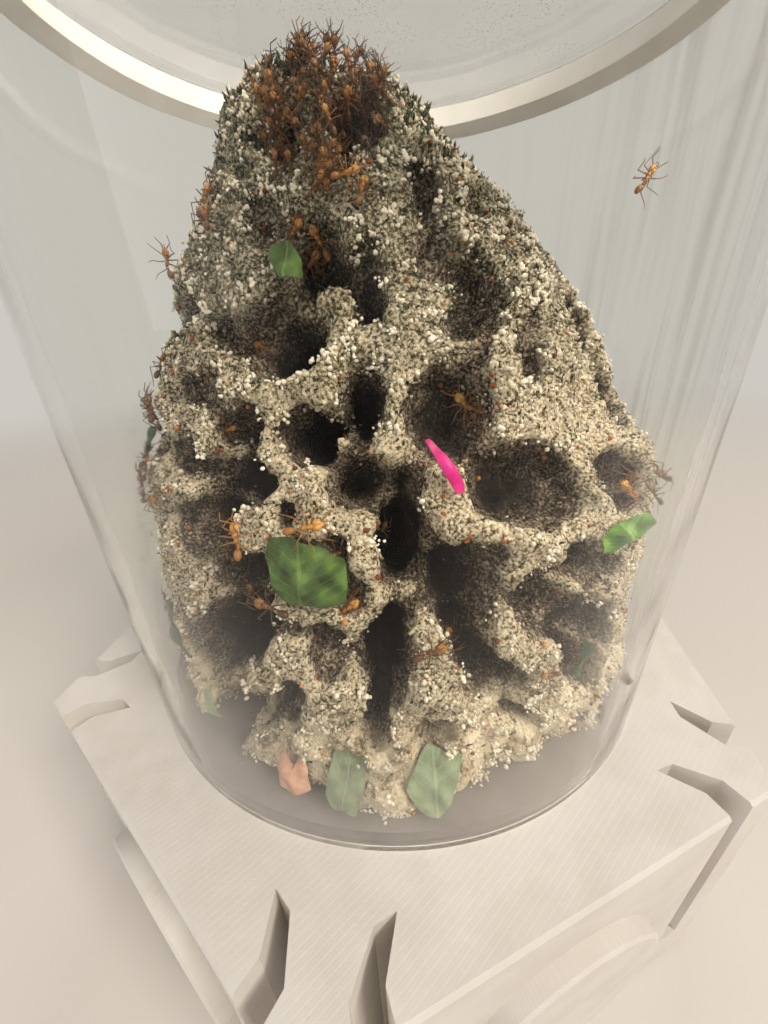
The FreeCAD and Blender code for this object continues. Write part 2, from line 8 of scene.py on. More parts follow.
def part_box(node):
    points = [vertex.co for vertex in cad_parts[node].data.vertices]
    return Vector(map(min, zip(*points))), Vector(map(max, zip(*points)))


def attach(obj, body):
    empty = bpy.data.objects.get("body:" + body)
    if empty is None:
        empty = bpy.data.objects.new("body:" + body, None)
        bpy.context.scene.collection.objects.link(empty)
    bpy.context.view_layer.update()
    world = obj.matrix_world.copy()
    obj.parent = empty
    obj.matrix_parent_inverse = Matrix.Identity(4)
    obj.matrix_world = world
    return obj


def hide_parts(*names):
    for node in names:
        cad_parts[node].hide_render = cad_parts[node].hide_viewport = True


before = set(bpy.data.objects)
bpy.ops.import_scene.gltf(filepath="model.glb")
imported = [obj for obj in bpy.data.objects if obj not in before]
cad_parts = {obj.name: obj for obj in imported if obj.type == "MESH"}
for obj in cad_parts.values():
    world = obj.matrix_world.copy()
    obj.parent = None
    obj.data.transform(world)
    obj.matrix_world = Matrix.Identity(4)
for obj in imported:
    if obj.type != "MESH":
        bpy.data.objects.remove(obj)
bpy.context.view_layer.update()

# Looks for the ant habitat: printed tile and plugs, clear chamber, fungus garden, leaves and ants.
# Sizes in the dictionaries are millimetres, everything in Blender is metres.

mm = 0.001
chance = np.random.default_rng(20)  # every random draw comes from here

# The camera, and where its rays land.

view = dict(
    at=(-28.43, -72.16, 112.84),
    ahead=(0.3125, 0.8411, -0.4413),
    right=(0.9306, -0.3644, -0.0355),
    up=(0.1907, 0.3996, 0.8966),
    lens=14.22, sensor=36.0, clipStart=4.0, clipEnd=20000.0,
    pictureWide=768, pictureTall=1024,
)


def addCamera():
    turn = Matrix([view['right'], view['up'], [-part for part in view['ahead']]]).transposed()
    bpy.ops.object.camera_add(location=Vector(view['at']) * mm, rotation=turn.to_euler())
    camera = bpy.context.object
    camera.data.lens = view['lens']
    camera.data.sensor_width = view['sensor']
    camera.data.clip_start = view['clipStart'] * mm
    camera.data.clip_end = view['clipEnd'] * mm
    bpy.context.scene.camera = camera
    print('camera set')


def rayThrough(across, down):
    # direction of the camera's ray through a point of the picture
    pixelsAhead = view['lens'] / view['sensor'] * view['pictureTall']
    return (Vector(view['ahead']) * pixelsAhead
            + Vector(view['right']) * (across - view['pictureWide'] / 2)
            + Vector(view['up']) * (view['pictureTall'] / 2 - down)).normalized()


def placesAlongRay(across, down, start, end, count):
    # places on that ray, at distances from start to end
    steps = np.linspace(start, end, count)[:, None]
    return np.array(view['at']) + steps * np.array(rayThrough(across, down))


# Small helpers.

def deselectAll():
    if bpy.context.mode != 'OBJECT':
        bpy.ops.object.mode_set(mode='OBJECT')
    bpy.ops.object.select_all(action='DESELECT')


def selectOnly(*pieces):
    deselectAll()
    for piece in pieces:
        piece.select_set(True)
    bpy.context.view_layer.objects.active = pieces[0]


def applyPlace(piece):
    selectOnly(piece)
    bpy.ops.object.transform_apply(location=True, rotation=True, scale=True)


def addModifier(piece, kind, **settings):
    # adds one modifier and applies it at once
    selectOnly(piece)
    bpy.ops.object.modifier_add(type=kind)
    modifier = piece.modifiers[-1]
    for name, value in settings.items():
        setattr(modifier, name, value)
    bpy.ops.object.modifier_apply(modifier=modifier.name)


def joinPieces(pieces, name):
    selectOnly(*pieces)
    if len(pieces) > 1:
        bpy.ops.object.join()
    joined = bpy.context.object
    joined.name = joined.data.name = name
    return joined


def addPiece(name, data):
    piece = bpy.data.objects.new(name, data)
    bpy.context.scene.collection.objects.link(piece)
    return piece


def removePieces(*pieces):
    selectOnly(*pieces)
    bpy.ops.object.delete()


def largestPart(piece):
    # drops the scraps that a cut has left loose
    selectOnly(piece)
    bpy.ops.object.mode_set(mode='EDIT')
    bpy.ops.mesh.select_all(action='SELECT')
    bpy.ops.mesh.separate(type='LOOSE')
    bpy.ops.object.mode_set(mode='OBJECT')
    parts = sorted(bpy.context.selected_objects, key=lambda part: len(part.data.vertices))
    if len(parts) > 1:
        removePieces(*parts[:-1])
    return parts[-1]


def faceOutwards(piece):
    selectOnly(piece)
    bpy.ops.object.mode_set(mode='EDIT')
    bpy.ops.mesh.select_all(action='SELECT')
    bpy.ops.mesh.normals_make_consistent(inside=False)
    bpy.ops.object.mode_set(mode='OBJECT')


def smoothShading(piece):
    selectOnly(piece)
    bpy.ops.object.shade_smooth()


def cornersOf(mesh):
    spots = np.empty(len(mesh.vertices) * 3)
    mesh.vertices.foreach_get('co', spots)
    return spots.reshape(-1, 3)


def setCorners(mesh, spots):
    mesh.vertices.foreach_set('co', spots.ravel())
    mesh.update()


def readCorners(mesh, name):
    values = np.empty(len(mesh.vertices), np.float32)
    mesh.attributes[name].data.foreach_get('value', values)
    return values


def paintCorners(mesh, name, values):
    layer = mesh.attributes.get(name) or mesh.attributes.new(name, 'FLOAT', 'POINT')
    layer.data.foreach_set('value', np.asarray(values, np.float32))


def giveFinish(piece, finish):
    piece.data.materials.clear()
    piece.data.materials.append(finish)


def inChamber(piece, node=None):
    # the piece moves with the chamber, and may stand for one of its nodes
    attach(piece, 'chamber')
    if node:
        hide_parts(node)


def skinOf(piece):
    # for finding the nearest place on a piece, or where a ray meets it
    return BVHTree.FromObject(piece, bpy.context.evaluated_depsgraph_get())


def roughen(piece, kind, size, height, group=''):
    # moves the surface in and out by a random pattern
    texture = bpy.data.textures.new('roughness', kind)
    texture.noise_scale = size * mm
    addModifier(piece, 'DISPLACE', texture=texture, texture_coords='LOCAL', strength=height * mm,
                mid_level=0.5, vertex_group=group)


# Shader maths.

class Socket:
    # an output of a node, on which sums and products add Math nodes
    def __init__(self, tree, output):
        self.tree = tree
        self.output = output

    def maths(self, operation, *values):
        return self.tree.node('ShaderNodeMath', dict(operation=operation), dict(enumerate(values)))

    def __add__(self, other):
        return self.maths('ADD', self, other)

    def __radd__(self, other):
        return self.maths('ADD', other, self)

    def __sub__(self, other):
        return self.maths('SUBTRACT', self, other)

    def __rsub__(self, other):
        return self.maths('SUBTRACT', other, self)

    def __mul__(self, other):
        return self.maths('MULTIPLY', self, other)

    def __rmul__(self, other):
        return self.maths('MULTIPLY', other, self)

    def sine(self):
        return self.maths('SINE', self)

    def size(self):
        return self.maths('ABSOLUTE', self)

    def most(self, other):
        return self.maths('MAXIMUM', self, other)

    def least(self, other):
        return self.maths('MINIMUM', self, other)

    def ramp(self, low, high, first=0.0, last=1.0):
        # runs smoothly from first to last as this goes from low to high
        return self.tree.node('ShaderNodeMapRange', dict(interpolation_type='SMOOTHSTEP'),
                              {'Value': self, 'From Min': low, 'From Max': high,
                               'To Min': first, 'To Max': last})


class ShaderTree:
    # the nodes of a material or of the world
    def __init__(self, tree):
        self.tree = tree
        self.tree.nodes.clear()

    def node(self, kind, settings=None, inputs=None, out=0):
        made = self.tree.nodes.new(kind)
        for name, value in (settings or {}).items():
            if name == 'stops':
                self.setStops(made.color_ramp, value)
            else:
                setattr(made, name, value)
        for name, value in (inputs or {}).items():
            if isinstance(value, Socket):
                self.tree.links.new(value.output, made.inputs[name])
            else:
                made.inputs[name].default_value = value
        return Socket(self, made.outputs[out]) if len(made.outputs) else None

    def setStops(self, ramp, stops):
        while len(ramp.elements) < len(stops):
            ramp.elements.new(1.0)
        for element, (position, colour) in zip(ramp.elements, stops):
            element.position = position
            element.color = colour

    def others(self, socket, *names):
        # further outputs of the node that a socket belongs to
        return [Socket(self, socket.output.node.outputs[name]) for name in names]

    def apart(self, vector):
        return self.others(self.node('ShaderNodeSeparateXYZ', None, {0: vector}), 'X', 'Y', 'Z')

    def seen(self):
        # 1 where the camera looks, directly, mirrored or through the tube, 0 for the light on things
        camera, mirrored, through, bounced = self.others(
            self.node('ShaderNodeLightPath'),
            'Is Camera Ray', 'Is Glossy Ray', 'Is Transmission Ray', 'Diffuse Depth')
        return camera.most(mirrored).most(through) * (1 - bounced.least(1))

    def mixShaders(self, factor, first, second):
        return self.node('ShaderNodeMixShader', None, {0: factor, 1: first, 2: second})


class Finish(ShaderTree):
    # one material, built node by node
    def __init__(self, name):
        self.material = bpy.data.materials.new(name)
        self.material.use_nodes = True
        super().__init__(self.material.node_tree)
        self.place = self.node('ShaderNodeTexCoord', out='Object')
        self.x, self.y, self.z = self.apart(self.place)

    def attribute(self, name):
        return self.node('ShaderNodeAttribute', dict(attribute_name=name), out='Fac')

    def noise(self, size, detail=3.0, roughness=0.55, stretch=None):
        # soft random pattern whose blotches are about size millimetres wide
        place = self.place
        if stretch:
            place = self.node('ShaderNodeMapping', None, {'Vector': place, 'Scale': stretch})
        return self.node('ShaderNodeTexNoise', None, {
            'Vector': place, 'Scale': 1 / (size * mm), 'Detail': detail, 'Roughness': roughness})

    def cells(self, size):
        # distance to the nearest of many scattered points
        return self.node('ShaderNodeTexVoronoi', None,
                         {'Vector': self.place, 'Scale': 1 / (size * mm)}, out='Distance')

    def facing(self, azimuth, radius):
        # on a round wall, 1 at this azimuth, falling to -1 opposite
        angle = math.radians(azimuth)
        return self.x * (math.cos(angle) / (radius * mm)) + self.y * (math.sin(angle) / (radius * mm))

    def colours(self, value, *stops):
        # stops are (position, colour), with the colour as written in a paint program
        return self.node('ShaderNodeValToRGB', dict(stops=[(at, shade(tint)) for at, tint in stops]),
                         {0: value})

    def mix(self, factor, first, second):
        first = first if isinstance(first, Socket) else shade(first)
        second = second if isinstance(second, Socket) else shade(second)
        return self.node('ShaderNodeMix', dict(data_type='RGBA'), {0: factor, 6: first, 7: second}, out=2)

    def bump(self, height, depth, strength=1.0):
        # height from 0 to 1, depth in millimetres
        return self.node('ShaderNodeBump', None,
                         {'Height': height, 'Distance': depth * mm, 'Strength': strength})

    def principled(self, inputs):
        return self.node('ShaderNodeBsdfPrincipled', None, inputs)

    def surface(self, shader):
        self.node('ShaderNodeOutputMaterial', None, {'Surface': shader})
        return self.material


def shade(tint):
    # a colour written as red, green, blue from 0 to 255 on the screen
    straight = [part / 255 for part in tint]
    return tuple(part / 12.92 if part <= 0.04045 else ((part + 0.055) / 1.055) ** 2.4
                 for part in straight) + (1.0,)


# Finishes.

printed = dict(
    tint=(228, 223, 217), shadeTint=(220, 213, 206), lineTint=(196, 188, 180),
    topHeight=49.4, topBlend=0.05, lineAngle=18.0, linePair=0.82, layer=0.28, lineDepth=0.035,
    wobbleSize=6.0, wobble=0.12, blotchSize=9.0, speckSize=0.9, pitSize=0.6, roughness=0.52,
)


def printedFinish(name, topLines):
    # fine upright layers, and on a top face the lines of the last layer
    finish = Finish(name)
    angle = math.radians(printed['lineAngle'] + 90)
    along = finish.x * math.cos(angle) + finish.y * math.sin(angle)
    wobble = finish.noise(printed['wobbleSize']) * (printed['wobble'] * mm)
    turns = 2 * math.pi / (printed['linePair'] * mm)
    pairs = ((along + wobble) * turns).sine()
    singles = ((along + wobble) * (2 * turns)).sine()
    topPattern = pairs * 0.26 + singles * 0.24 + 0.5
    pattern = ((finish.z + wobble * 0.4) * (2 * math.pi / (printed['layer'] * mm))).sine() * 0.5 + 0.5
    if topLines:
        onTop = finish.z.ramp((printed['topHeight'] - printed['topBlend']) * mm,
                              (printed['topHeight'] + printed['topBlend']) * mm)
        pattern = onTop * topPattern + (1 - onTop) * pattern
    blotches = finish.noise(printed['blotchSize'], 4.0)
    specks = finish.noise(printed['speckSize'], 2.0).ramp(0.70, 0.76)
    tint = finish.mix(blotches.ramp(0.35, 0.7), printed['tint'], printed['shadeTint'])
    tint = finish.mix((1 - pattern) * 0.1 + specks * 0.25, tint, printed['lineTint'])
    rough = blotches.ramp(0.3, 0.8, printed['roughness'] - 0.06, printed['roughness'] + 0.08)
    relief = pattern * 0.7 + finish.noise(printed['pitSize']) * 0.3
    return finish.surface(finish.principled({
        'Base Color': tint, 'Roughness': rough, 'Normal': finish.bump(relief, printed['lineDepth'], 0.45)}))


clear = dict(
    tint=(248, 249, 247), mirrorTint=(92, 92, 92), index=1.49, shadowTint=(244, 245, 244),
    tubeRadius=50.0, upright=(1.0, 1.0, 0.05), scratchSize=0.5, hazeSize=14.0,
    rippleSize=16.0, rippleDepth=0.12, filmRoughness=0.7, filmMost=0.8,
)
# what lies on the clear pieces: condensation on the tube near its foot, smearing up it with painted
# reflection streaks on its right side, mist and painted shade on the floor plate, and drops on the window;
# each amount is how much of the clear surface it covers
films = dict(
    dampAndPaintedStreaks=(186, 178, 176), dampAzimuth=222.0, dampLow=50.0, dampHigh=76.0, dampPatches=9.0,
    dampAmount=0.25, dampAllRound=0.04, dropSize=1.1, dropPatches=12.0, dropAmount=0.07,
    smearAndStreakSize=3.4, paintedStreakAzimuth=322.0, paintedStreakAmount=0.3, smearAllRound=0.02,
    mistAndShade=(128, 119, 114), mistAndShadePatches=5.0, mistAndShadeAmount=(0.55, 0.8),
    windowDropSize=0.8, windowDropPatches=10.0, windowDrops=0.35, windowHaze=0.05,
)


def wallFilm(finish):
    facing = finish.facing(films['dampAzimuth'], clear['tubeRadius'])
    low = finish.z.ramp(films['dampLow'] * mm, films['dampHigh'] * mm, 1.0, 0.0)
    patches = finish.noise(films['dampPatches'], 4.0).ramp(0.3, 0.75)
    drops = (finish.cells(films['dropSize']).ramp(0.18, 0.26, 1.0, 0.0)
             * finish.noise(films['dropPatches']).ramp(0.45, 0.7))
    # on the tube's right side the smearing stands thicker: painted reflection streaks
    paintedStreakSide = finish.facing(films['paintedStreakAzimuth'], clear['tubeRadius'])
    smearsAndPaintedStreaks = finish.noise(films['smearAndStreakSize'], 3.0, stretch=clear['upright']).ramp(0.45, 0.75)
    return (facing.ramp(0.55, 1.0) * low * patches * films['dampAmount']
            + low * facing.ramp(0.0, 0.9) * films['dampAllRound'] + drops * low * films['dropAmount']
            + smearsAndPaintedStreaks * (paintedStreakSide.ramp(0.5, 0.95) * films['paintedStreakAmount'] + films['smearAllRound']))


def floorFilm(finish):
    # a grey film over most of the plate: mist, and painted shade
    return finish.noise(films['mistAndShadePatches'], 4.0).ramp(0.2, 0.8, *films['mistAndShadeAmount'])


def windowFilm(finish):
    drops = (finish.cells(films['windowDropSize']).ramp(0.14, 0.24, 1.0, 0.0)
             * finish.noise(films['windowDropPatches']).ramp(0.45, 0.62))
    haze = finish.noise(clear['hazeSize'], 3.0).ramp(0.3, 0.8)
    return drops * films['windowDrops'] + haze * films['windowHaze']


def acrylicFinish(name, film, filmTint):
    finish = Finish(name)
    scratches = finish.noise(clear['scratchSize'], 2.0, stretch=clear['upright']).ramp(0.62, 0.75)
    rough = finish.noise(clear['hazeSize'], 3.0).ramp(0.4, 0.8, 0.01, 0.05) + scratches * 0.04
    glass = finish.principled({
        'Base Color': shade(clear['tint']), 'Roughness': rough, 'IOR': clear['index'],
        'Specular Tint': shade(clear['mirrorTint']), 'Transmission Weight': 1.0,
        'Normal': finish.bump(finish.noise(clear['rippleSize'], 1.0), clear['rippleDepth'])})
    coat = finish.principled({'Base Color': shade(filmTint), 'Roughness': clear['filmRoughness']})
    coated = finish.mixShaders(film(finish).least(clear['filmMost']), glass, coat)
    # light passes straight through to what is inside
    shadowRay = finish.node('ShaderNodeLightPath', out='Is Shadow Ray')
    seeThrough = finish.node('ShaderNodeBsdfTransparent', None, {'Color': shade(clear['shadowTint'])})
    return finish.surface(finish.mixShaders(shadowRay, coated, seeThrough))


fungus = dict(
    ridge=((0.37, (32, 31, 19)), (0.44, (106, 95, 72)), (0.51, (184, 168, 140)), (0.64, (224, 210, 186))),
    # wall and end are painted shade in the hollows, end at their deepest
    wall=((0.38, (22, 17, 12)), (0.46, (62, 51, 41)), (0.53, (116, 100, 83)), (0.63, (188, 173, 150))),
    cotton=((0.34, (66, 57, 42)), (0.41, (140, 124, 97)), (0.48, (198, 181, 151)), (0.6, (226, 212, 184))),
    mossy=((0.38, (16, 18, 10)), (0.49, (46, 47, 28)), (0.6, (168, 160, 134))),
    end=(18, 13, 10), grainSize=0.38, blotchSize=2.4, puffSize=0.5, relief=0.3,
    mossFrom=98.0, mossTo=124.0, mossPatches=3.2, mossAmount=0.15, cottonFrom=76.0, cottonTo=60.0,
)


def fungusFinish():
    # speckled fluff on the ridges, and painted shade in the hollows: grey-brown on their walls, nearly black
    # at their ends
    finish = Finish('fungus')
    deep = finish.attribute('deep')
    grain = finish.noise(fungus['grainSize'], 3.0, 0.65)
    blotch = finish.noise(fungus['blotchSize'], 4.0)
    high = finish.z.ramp(fungus['mossFrom'] * mm, fungus['mossTo'] * mm)
    low = finish.z.ramp(fungus['cottonTo'] * mm, fungus['cottonFrom'] * mm, 1.0, 0.0)
    ridge = finish.colours(grain * 0.75 + blotch * 0.25, *fungus['ridge'])
    wall = finish.colours(grain * 0.7 + blotch * 0.3, *fungus['wall'])
    cotton = finish.colours(grain * 0.3 + blotch * 0.7, *fungus['cotton'])
    mossy = finish.colours(grain * 0.8 + blotch * 0.2, *fungus['mossy'])
    # darker with depth into the hollows: painted shade
    tint = finish.mix(deep.ramp(0.06, 0.2), ridge, wall)
    tint = finish.mix(deep.ramp(0.42, 0.95), tint, fungus['end'])
    tint = finish.mix(low * deep.ramp(0.1, 0.5, 0.95, 0.0), tint, cotton)
    tint = finish.mix(high * deep.ramp(0.1, 0.4, 0.75, 0.3), tint, mossy)
    relief = grain * 0.7 + finish.cells(fungus['puffSize']) * 0.4
    return finish.surface(finish.principled({
        'Base Color': tint, 'Roughness': 0.92, 'Normal': finish.bump(relief, fungus['relief']),
        'Specular IOR Level': 0.2}))


def grainFinish(name, stops, roughness=0.8, mossy=None):
    # small pieces, each with its own tone, greener near the crown; on the fungus grains the tone holds
    # painted shade and painted light too
    finish = Finish(name)
    tone = finish.attribute('tone')
    tint = finish.colours(tone, *stops)
    if mossy:
        high = finish.z.ramp(fungus['mossFrom'] * mm, fungus['mossTo'] * mm)
        patches = finish.noise(fungus['mossPatches'], 3.0).ramp(0.42, 0.6)
        tint = finish.mix(high * patches * fungus['mossAmount'], tint, finish.colours(tone, *mossy))
    return finish.surface(finish.principled({
        'Base Color': tint, 'Roughness': roughness, 'Specular IOR Level': 0.3}))


# veins are counted along the whole leaf; slant is how far they run up towards the leaf's edge
leafSkin = dict(
    blotchSize=2.2, nettingSize=0.5, midrib=(0.012, 0.035), sideVeins=7, sideSlant=0.7,
    fineVeins=24, fineSlant=2.0, fineWave=0.04, veinAmount=0.3, relief=0.12, roughness=0.42,
)


def leafFinish(name, tints, veins):
    # tints run from the dark parts to the pale veins
    finish = Finish(name)
    across, along, _ = finish.apart(finish.node('ShaderNodeUVMap', dict(uv_map='leafMap')))
    fromMiddle = (across - 0.5).size()
    blotch = finish.noise(leafSkin['blotchSize'], 4.0)
    tint = finish.colours(blotch, (0.3, tints[0]), (0.5, tints[1]), (0.7, tints[2]))
    netting = finish.noise(leafSkin['nettingSize'], 2.0)
    height = netting * 0.3
    if veins:
        midrib = fromMiddle.ramp(*leafSkin['midrib'], 1.0, 0.0)
        side = (along - fromMiddle * leafSkin['sideSlant']) * (2 * math.pi * leafSkin['sideVeins'])
        fine = ((along + fromMiddle * leafSkin['fineSlant'] + netting * leafSkin['fineWave'])
                * (2 * math.pi * leafSkin['fineVeins']))
        lines = midrib.most(side.sine().ramp(0.9, 0.99) * 0.8).most(fine.sine().ramp(0.85, 1.0) * 0.35)
        tint = finish.mix(lines * leafSkin['veinAmount'], tint, tints[3])
        height = height + lines * 0.7
    return finish.surface(finish.principled({
        'Base Color': tint, 'Roughness': leafSkin['roughness'],
        'Normal': finish.bump(height, leafSkin['relief'])}))


antSkin = dict(
    tints=((0.0, (44, 26, 10)), (0.35, (94, 59, 23)), (0.7, (160, 104, 42)), (1.0, (204, 150, 76))),
    blotchSize=0.8, blotchAmount=0.25, roughness=0.28, coat=0.3, coatRoughness=0.2,
)


def antFinish():
    finish = Finish('ant')
    blotch = finish.noise(antSkin['blotchSize'], 2.0)
    tone = finish.attribute('tone') + (blotch - 0.5) * antSkin['blotchAmount']
    return finish.surface(finish.principled({
        'Base Color': finish.colours(tone, *antSkin['tints']), 'Roughness': antSkin['roughness'],
        'Coat Weight': antSkin['coat'], 'Coat Roughness': antSkin['coatRoughness']}))


# The fungus garden: a leaning dome with pits cut into it.

garden = dict(
    # height above the table, radius and sideways lean of each round section
    sections=((53.3, 43.8, 0.0), (73.3, 44.5, 0.0), (90.3, 42.0, 0.0), (105.3, 35.3, 0.0),
              (120.3, 27.8, 1.9), (132.3, 19.3, 3.2), (139.3, 11.5, 4.8)),
    leanToward=158.0, sides=72, formVoxel=1.5, voxel=0.85,
    lumpSize=15.0, lumpHeight=2.8, knobSize=5.5, knobHeight=1.6,
    puffSize=3.6, puffHeight=2.6, puffFrom=76.0, puffTo=62.0, puffDepth=4.0,
    wrinkleSize=2.2, wrinkleHeight=1.7, grainSize=1.2, grainHeight=0.8,
    widest=47.2, footSink=0.2, deepest=10.0, softening=40, crest=0.7, crestMost=1.15,
)
rays = dict(start=30, end=150, count=1200)  # where along a ray the form is looked for

# places where the form is pushed out or in: picture point, reach and push in mm
pushes = (
    dict(at=(640, 470), reach=12, push=2.2), dict(at=(618, 650), reach=13, push=2.0),
    dict(at=(632, 555), reach=12, push=1.0), dict(at=(598, 398), reach=9, push=-2.2),
    dict(at=(500, 170), reach=13, push=-2.2), dict(at=(470, 100), reach=10, push=-2.4),
    dict(at=(165, 350), reach=12, push=1.0), dict(at=(165, 500), reach=13, push=-1.0),
    dict(at=(255, 100), reach=9, push=2.0), dict(at=(395, 790), reach=10, push=2.6),
)

# hollows seen by the camera: picture point of the middle, width and height there, depth in mm
frontHollows = (
    dict(at=(276, 334), spread=(90, 90), deep=10), dict(at=(298, 430), spread=(58, 68), deep=13),
    dict(at=(361, 396), spread=(50, 84), deep=9), dict(at=(230, 420), spread=(56, 48), deep=7),
    dict(at=(222, 476), spread=(80, 60), deep=9), dict(at=(176, 450), spread=(28, 44), deep=6),
    dict(at=(190, 529), spread=(56, 72), deep=9), dict(at=(285, 511), spread=(30, 32), deep=7),
    dict(at=(356, 478), spread=(74, 62), deep=8), dict(at=(403, 546), spread=(62, 98), deep=14),
    dict(at=(238, 578), spread=(80, 56), deep=9), dict(at=(266, 622), spread=(70, 30), deep=6),
    dict(at=(452, 410), spread=(94, 112), deep=7), dict(at=(542, 482), spread=(120, 92), deep=7),
    dict(at=(466, 592), spread=(80, 98), deep=8), dict(at=(588, 560), spread=(42, 50), deep=6),
    dict(at=(592, 620), spread=(38, 48), deep=5), dict(at=(546, 602), spread=(56, 76), deep=6),
    dict(at=(385, 664), spread=(58, 100), deep=10), dict(at=(405, 606), spread=(34, 34), deep=3),
    dict(at=(467, 638), spread=(50, 54), deep=8), dict(at=(498, 682), spread=(72, 50), deep=8),
    dict(at=(579, 655), spread=(32, 68), deep=6), dict(at=(521, 717), spread=(40, 22), deep=5),
    dict(at=(376, 722), spread=(36, 44), deep=7), dict(at=(288, 706), spread=(34, 60), deep=7),
    dict(at=(370, 280), spread=(38, 100), deep=8), dict(at=(310, 250), spread=(64, 80), deep=9),
    dict(at=(488, 282), spread=(62, 108), deep=7), dict(at=(438, 240), spread=(40, 74), deep=4),
    dict(at=(430, 168), spread=(34, 84), deep=6), dict(at=(535, 350), spread=(42, 70), deep=5),
    dict(at=(222, 330), spread=(42, 46), deep=5), dict(at=(212, 652), spread=(72, 84), deep=10),
    dict(at=(236, 716), spread=(74, 48), deep=9), dict(at=(432, 730), spread=(48, 34), deep=3),
    dict(at=(328, 650), spread=(40, 70), deep=6), dict(at=(520, 225), spread=(40, 60), deep=3),
    dict(at=(262, 215), spread=(44, 60), deep=3), dict(at=(408, 478), spread=(34, 46), deep=7),
    dict(at=(500, 556), spread=(30, 30), deep=3), dict(at=(190, 385), spread=(36, 44), deep=3),
    dict(at=(493, 180), spread=(34, 60), deep=5), dict(at=(500, 760), spread=(40, 20), deep=3),
)
# hollows strewn over the rest: sizes in mm, share of the others' reach and wall kept between them
otherHollows = (
    dict(tries=4000, wide=(5.5, 13.0), tall=(6.0, 14.0), deep=(3.5, 9.0), apart=0.92, wall=0.9,
         fromFloor=5, fineness=3),
    dict(tries=9000, wide=(2.2, 4.8), tall=(2.4, 6.0), deep=(1.6, 3.6), apart=0.86, wall=0.45,
         fromFloor=2, fineness=2),
)
hollowShape = dict(
    sink=0.12, voxel=0.9, lumpSize=4.0, lumpHeight=1.8, frontFineness=3,
    fromTop=6, smallest=0.6, fullSizeRadius=36,  # hollows shrink where the dome narrows
)


def gardenRadius(height):
    # radius of the plain form at heights in millimetres
    heights, radii, _ = zip(*garden['sections'])
    return np.interp(height, heights, radii)


def gardenMiddle(height):
    # how far the form has leaned over at a height, as x and y
    heights, _, leans = zip(*garden['sections'])
    toward = math.radians(garden['leanToward'])
    lean = np.interp(height, heights, leans)
    return lean * math.cos(toward), lean * math.sin(toward)


def onGarden(across, down):
    # where the camera's ray through a picture point meets the plain form, or passes nearest to it
    spots = placesAlongRay(across, down, **rays)
    middleX, middleY = gardenMiddle(spots[:, 2])
    outside = np.hypot(spots[:, 0] - middleX, spots[:, 1] - middleY) - gardenRadius(spots[:, 2])
    outside += np.maximum(spots[:, 2] - garden['sections'][-1][0], 0) * 2
    inside = np.flatnonzero(outside <= 0)
    return Vector(spots[inside[0] if len(inside) else outside.argmin()])


def wallAxes(spot):
    # directions at a place on the plain form: to the right, upwards and outwards, as seen from outside
    middleX, middleY = gardenMiddle(spot.z)
    outX, outY = spot.x - middleX, spot.y - middleY
    reach = math.hypot(outX, outY)
    slope = float(gardenRadius(spot.z - 2) - gardenRadius(spot.z + 2)) / 4
    outward = Vector((outX / reach, outY / reach, slope)).normalized()
    aside = Vector((-outY / reach, outX / reach, 0))
    return aside, outward.cross(aside), outward


def gardenForm():
    # a ring, extruded up, moved and scaled at each section
    lowHeight, lowRadius, _ = garden['sections'][0]
    deselectAll()
    bpy.ops.mesh.primitive_circle_add(vertices=garden['sides'], radius=lowRadius * mm, fill_type='NGON',
                                      location=(0, 0, lowHeight * mm))
    form = bpy.context.object
    bpy.ops.object.mode_set(mode='EDIT')
    lower = Vector((0, 0, lowHeight))
    for height, radius, _ in garden['sections'][1:]:
        middle = Vector((*gardenMiddle(height), height))
        bpy.ops.mesh.extrude_region_move(TRANSFORM_OT_translate={'value': (middle - lower) * mm})
        scale = radius / lowRadius
        bpy.ops.transform.resize(value=(scale, scale, 1), center_override=middle * mm)
        lower, lowRadius = middle, radius
    faceOutwards(form)
    applyPlace(form)
    addModifier(form, 'REMESH', mode='VOXEL', voxel_size=garden['formVoxel'] * mm)
    addModifier(form, 'SMOOTH', factor=0.5, iterations=3)
    roughen(form, 'CLOUDS', garden['lumpSize'], garden['lumpHeight'])
    roughen(form, 'CLOUDS', garden['knobSize'], garden['knobHeight'])
    spots = cornersOf(form.data) / mm
    for push in pushes:
        middle = onGarden(*push['at'])
        away = np.linalg.norm(spots - np.array(middle), axis=1) / push['reach']
        spots += np.exp(-away ** 2)[:, None] * np.array(wallAxes(middle)[2]) * push['push']
    spots[:, 2] = np.maximum(spots[:, 2], garden['sections'][0][0])
    setCorners(form.data, spots * mm)
    return form


def addHollow(middle, acrossVector, upVector, inward, fineness):
    # an egg that will be cut out: its half axes are the three vectors, in millimetres
    deselectAll()
    bpy.ops.mesh.primitive_ico_sphere_add(subdivisions=fineness, radius=1.0)
    hollow = bpy.context.object
    place = Matrix((acrossVector, upVector, inward)).transposed().to_4x4()
    place.translation = middle + inward * hollowShape['sink']
    hollow.data.transform(place)
    hollow.data.transform(Matrix.Scale(mm, 4))
    return hollow


def frontHollow(at, spread, deep):
    # returns the egg, its middle and its reach
    across, down = at
    wide, tall = spread
    left, right = onGarden(across - wide / 2, down), onGarden(across + wide / 2, down)
    top, bottom = onGarden(across, down - tall / 2), onGarden(across, down + tall / 2)
    middle = onGarden(across, down)
    hollow = addHollow(middle, (right - left) / 2, (top - bottom) / 2, -wallAxes(middle)[2] * deep,
                       hollowShape['frontFineness'])
    return hollow, middle, max((right - left).length, (top - bottom).length) / 2


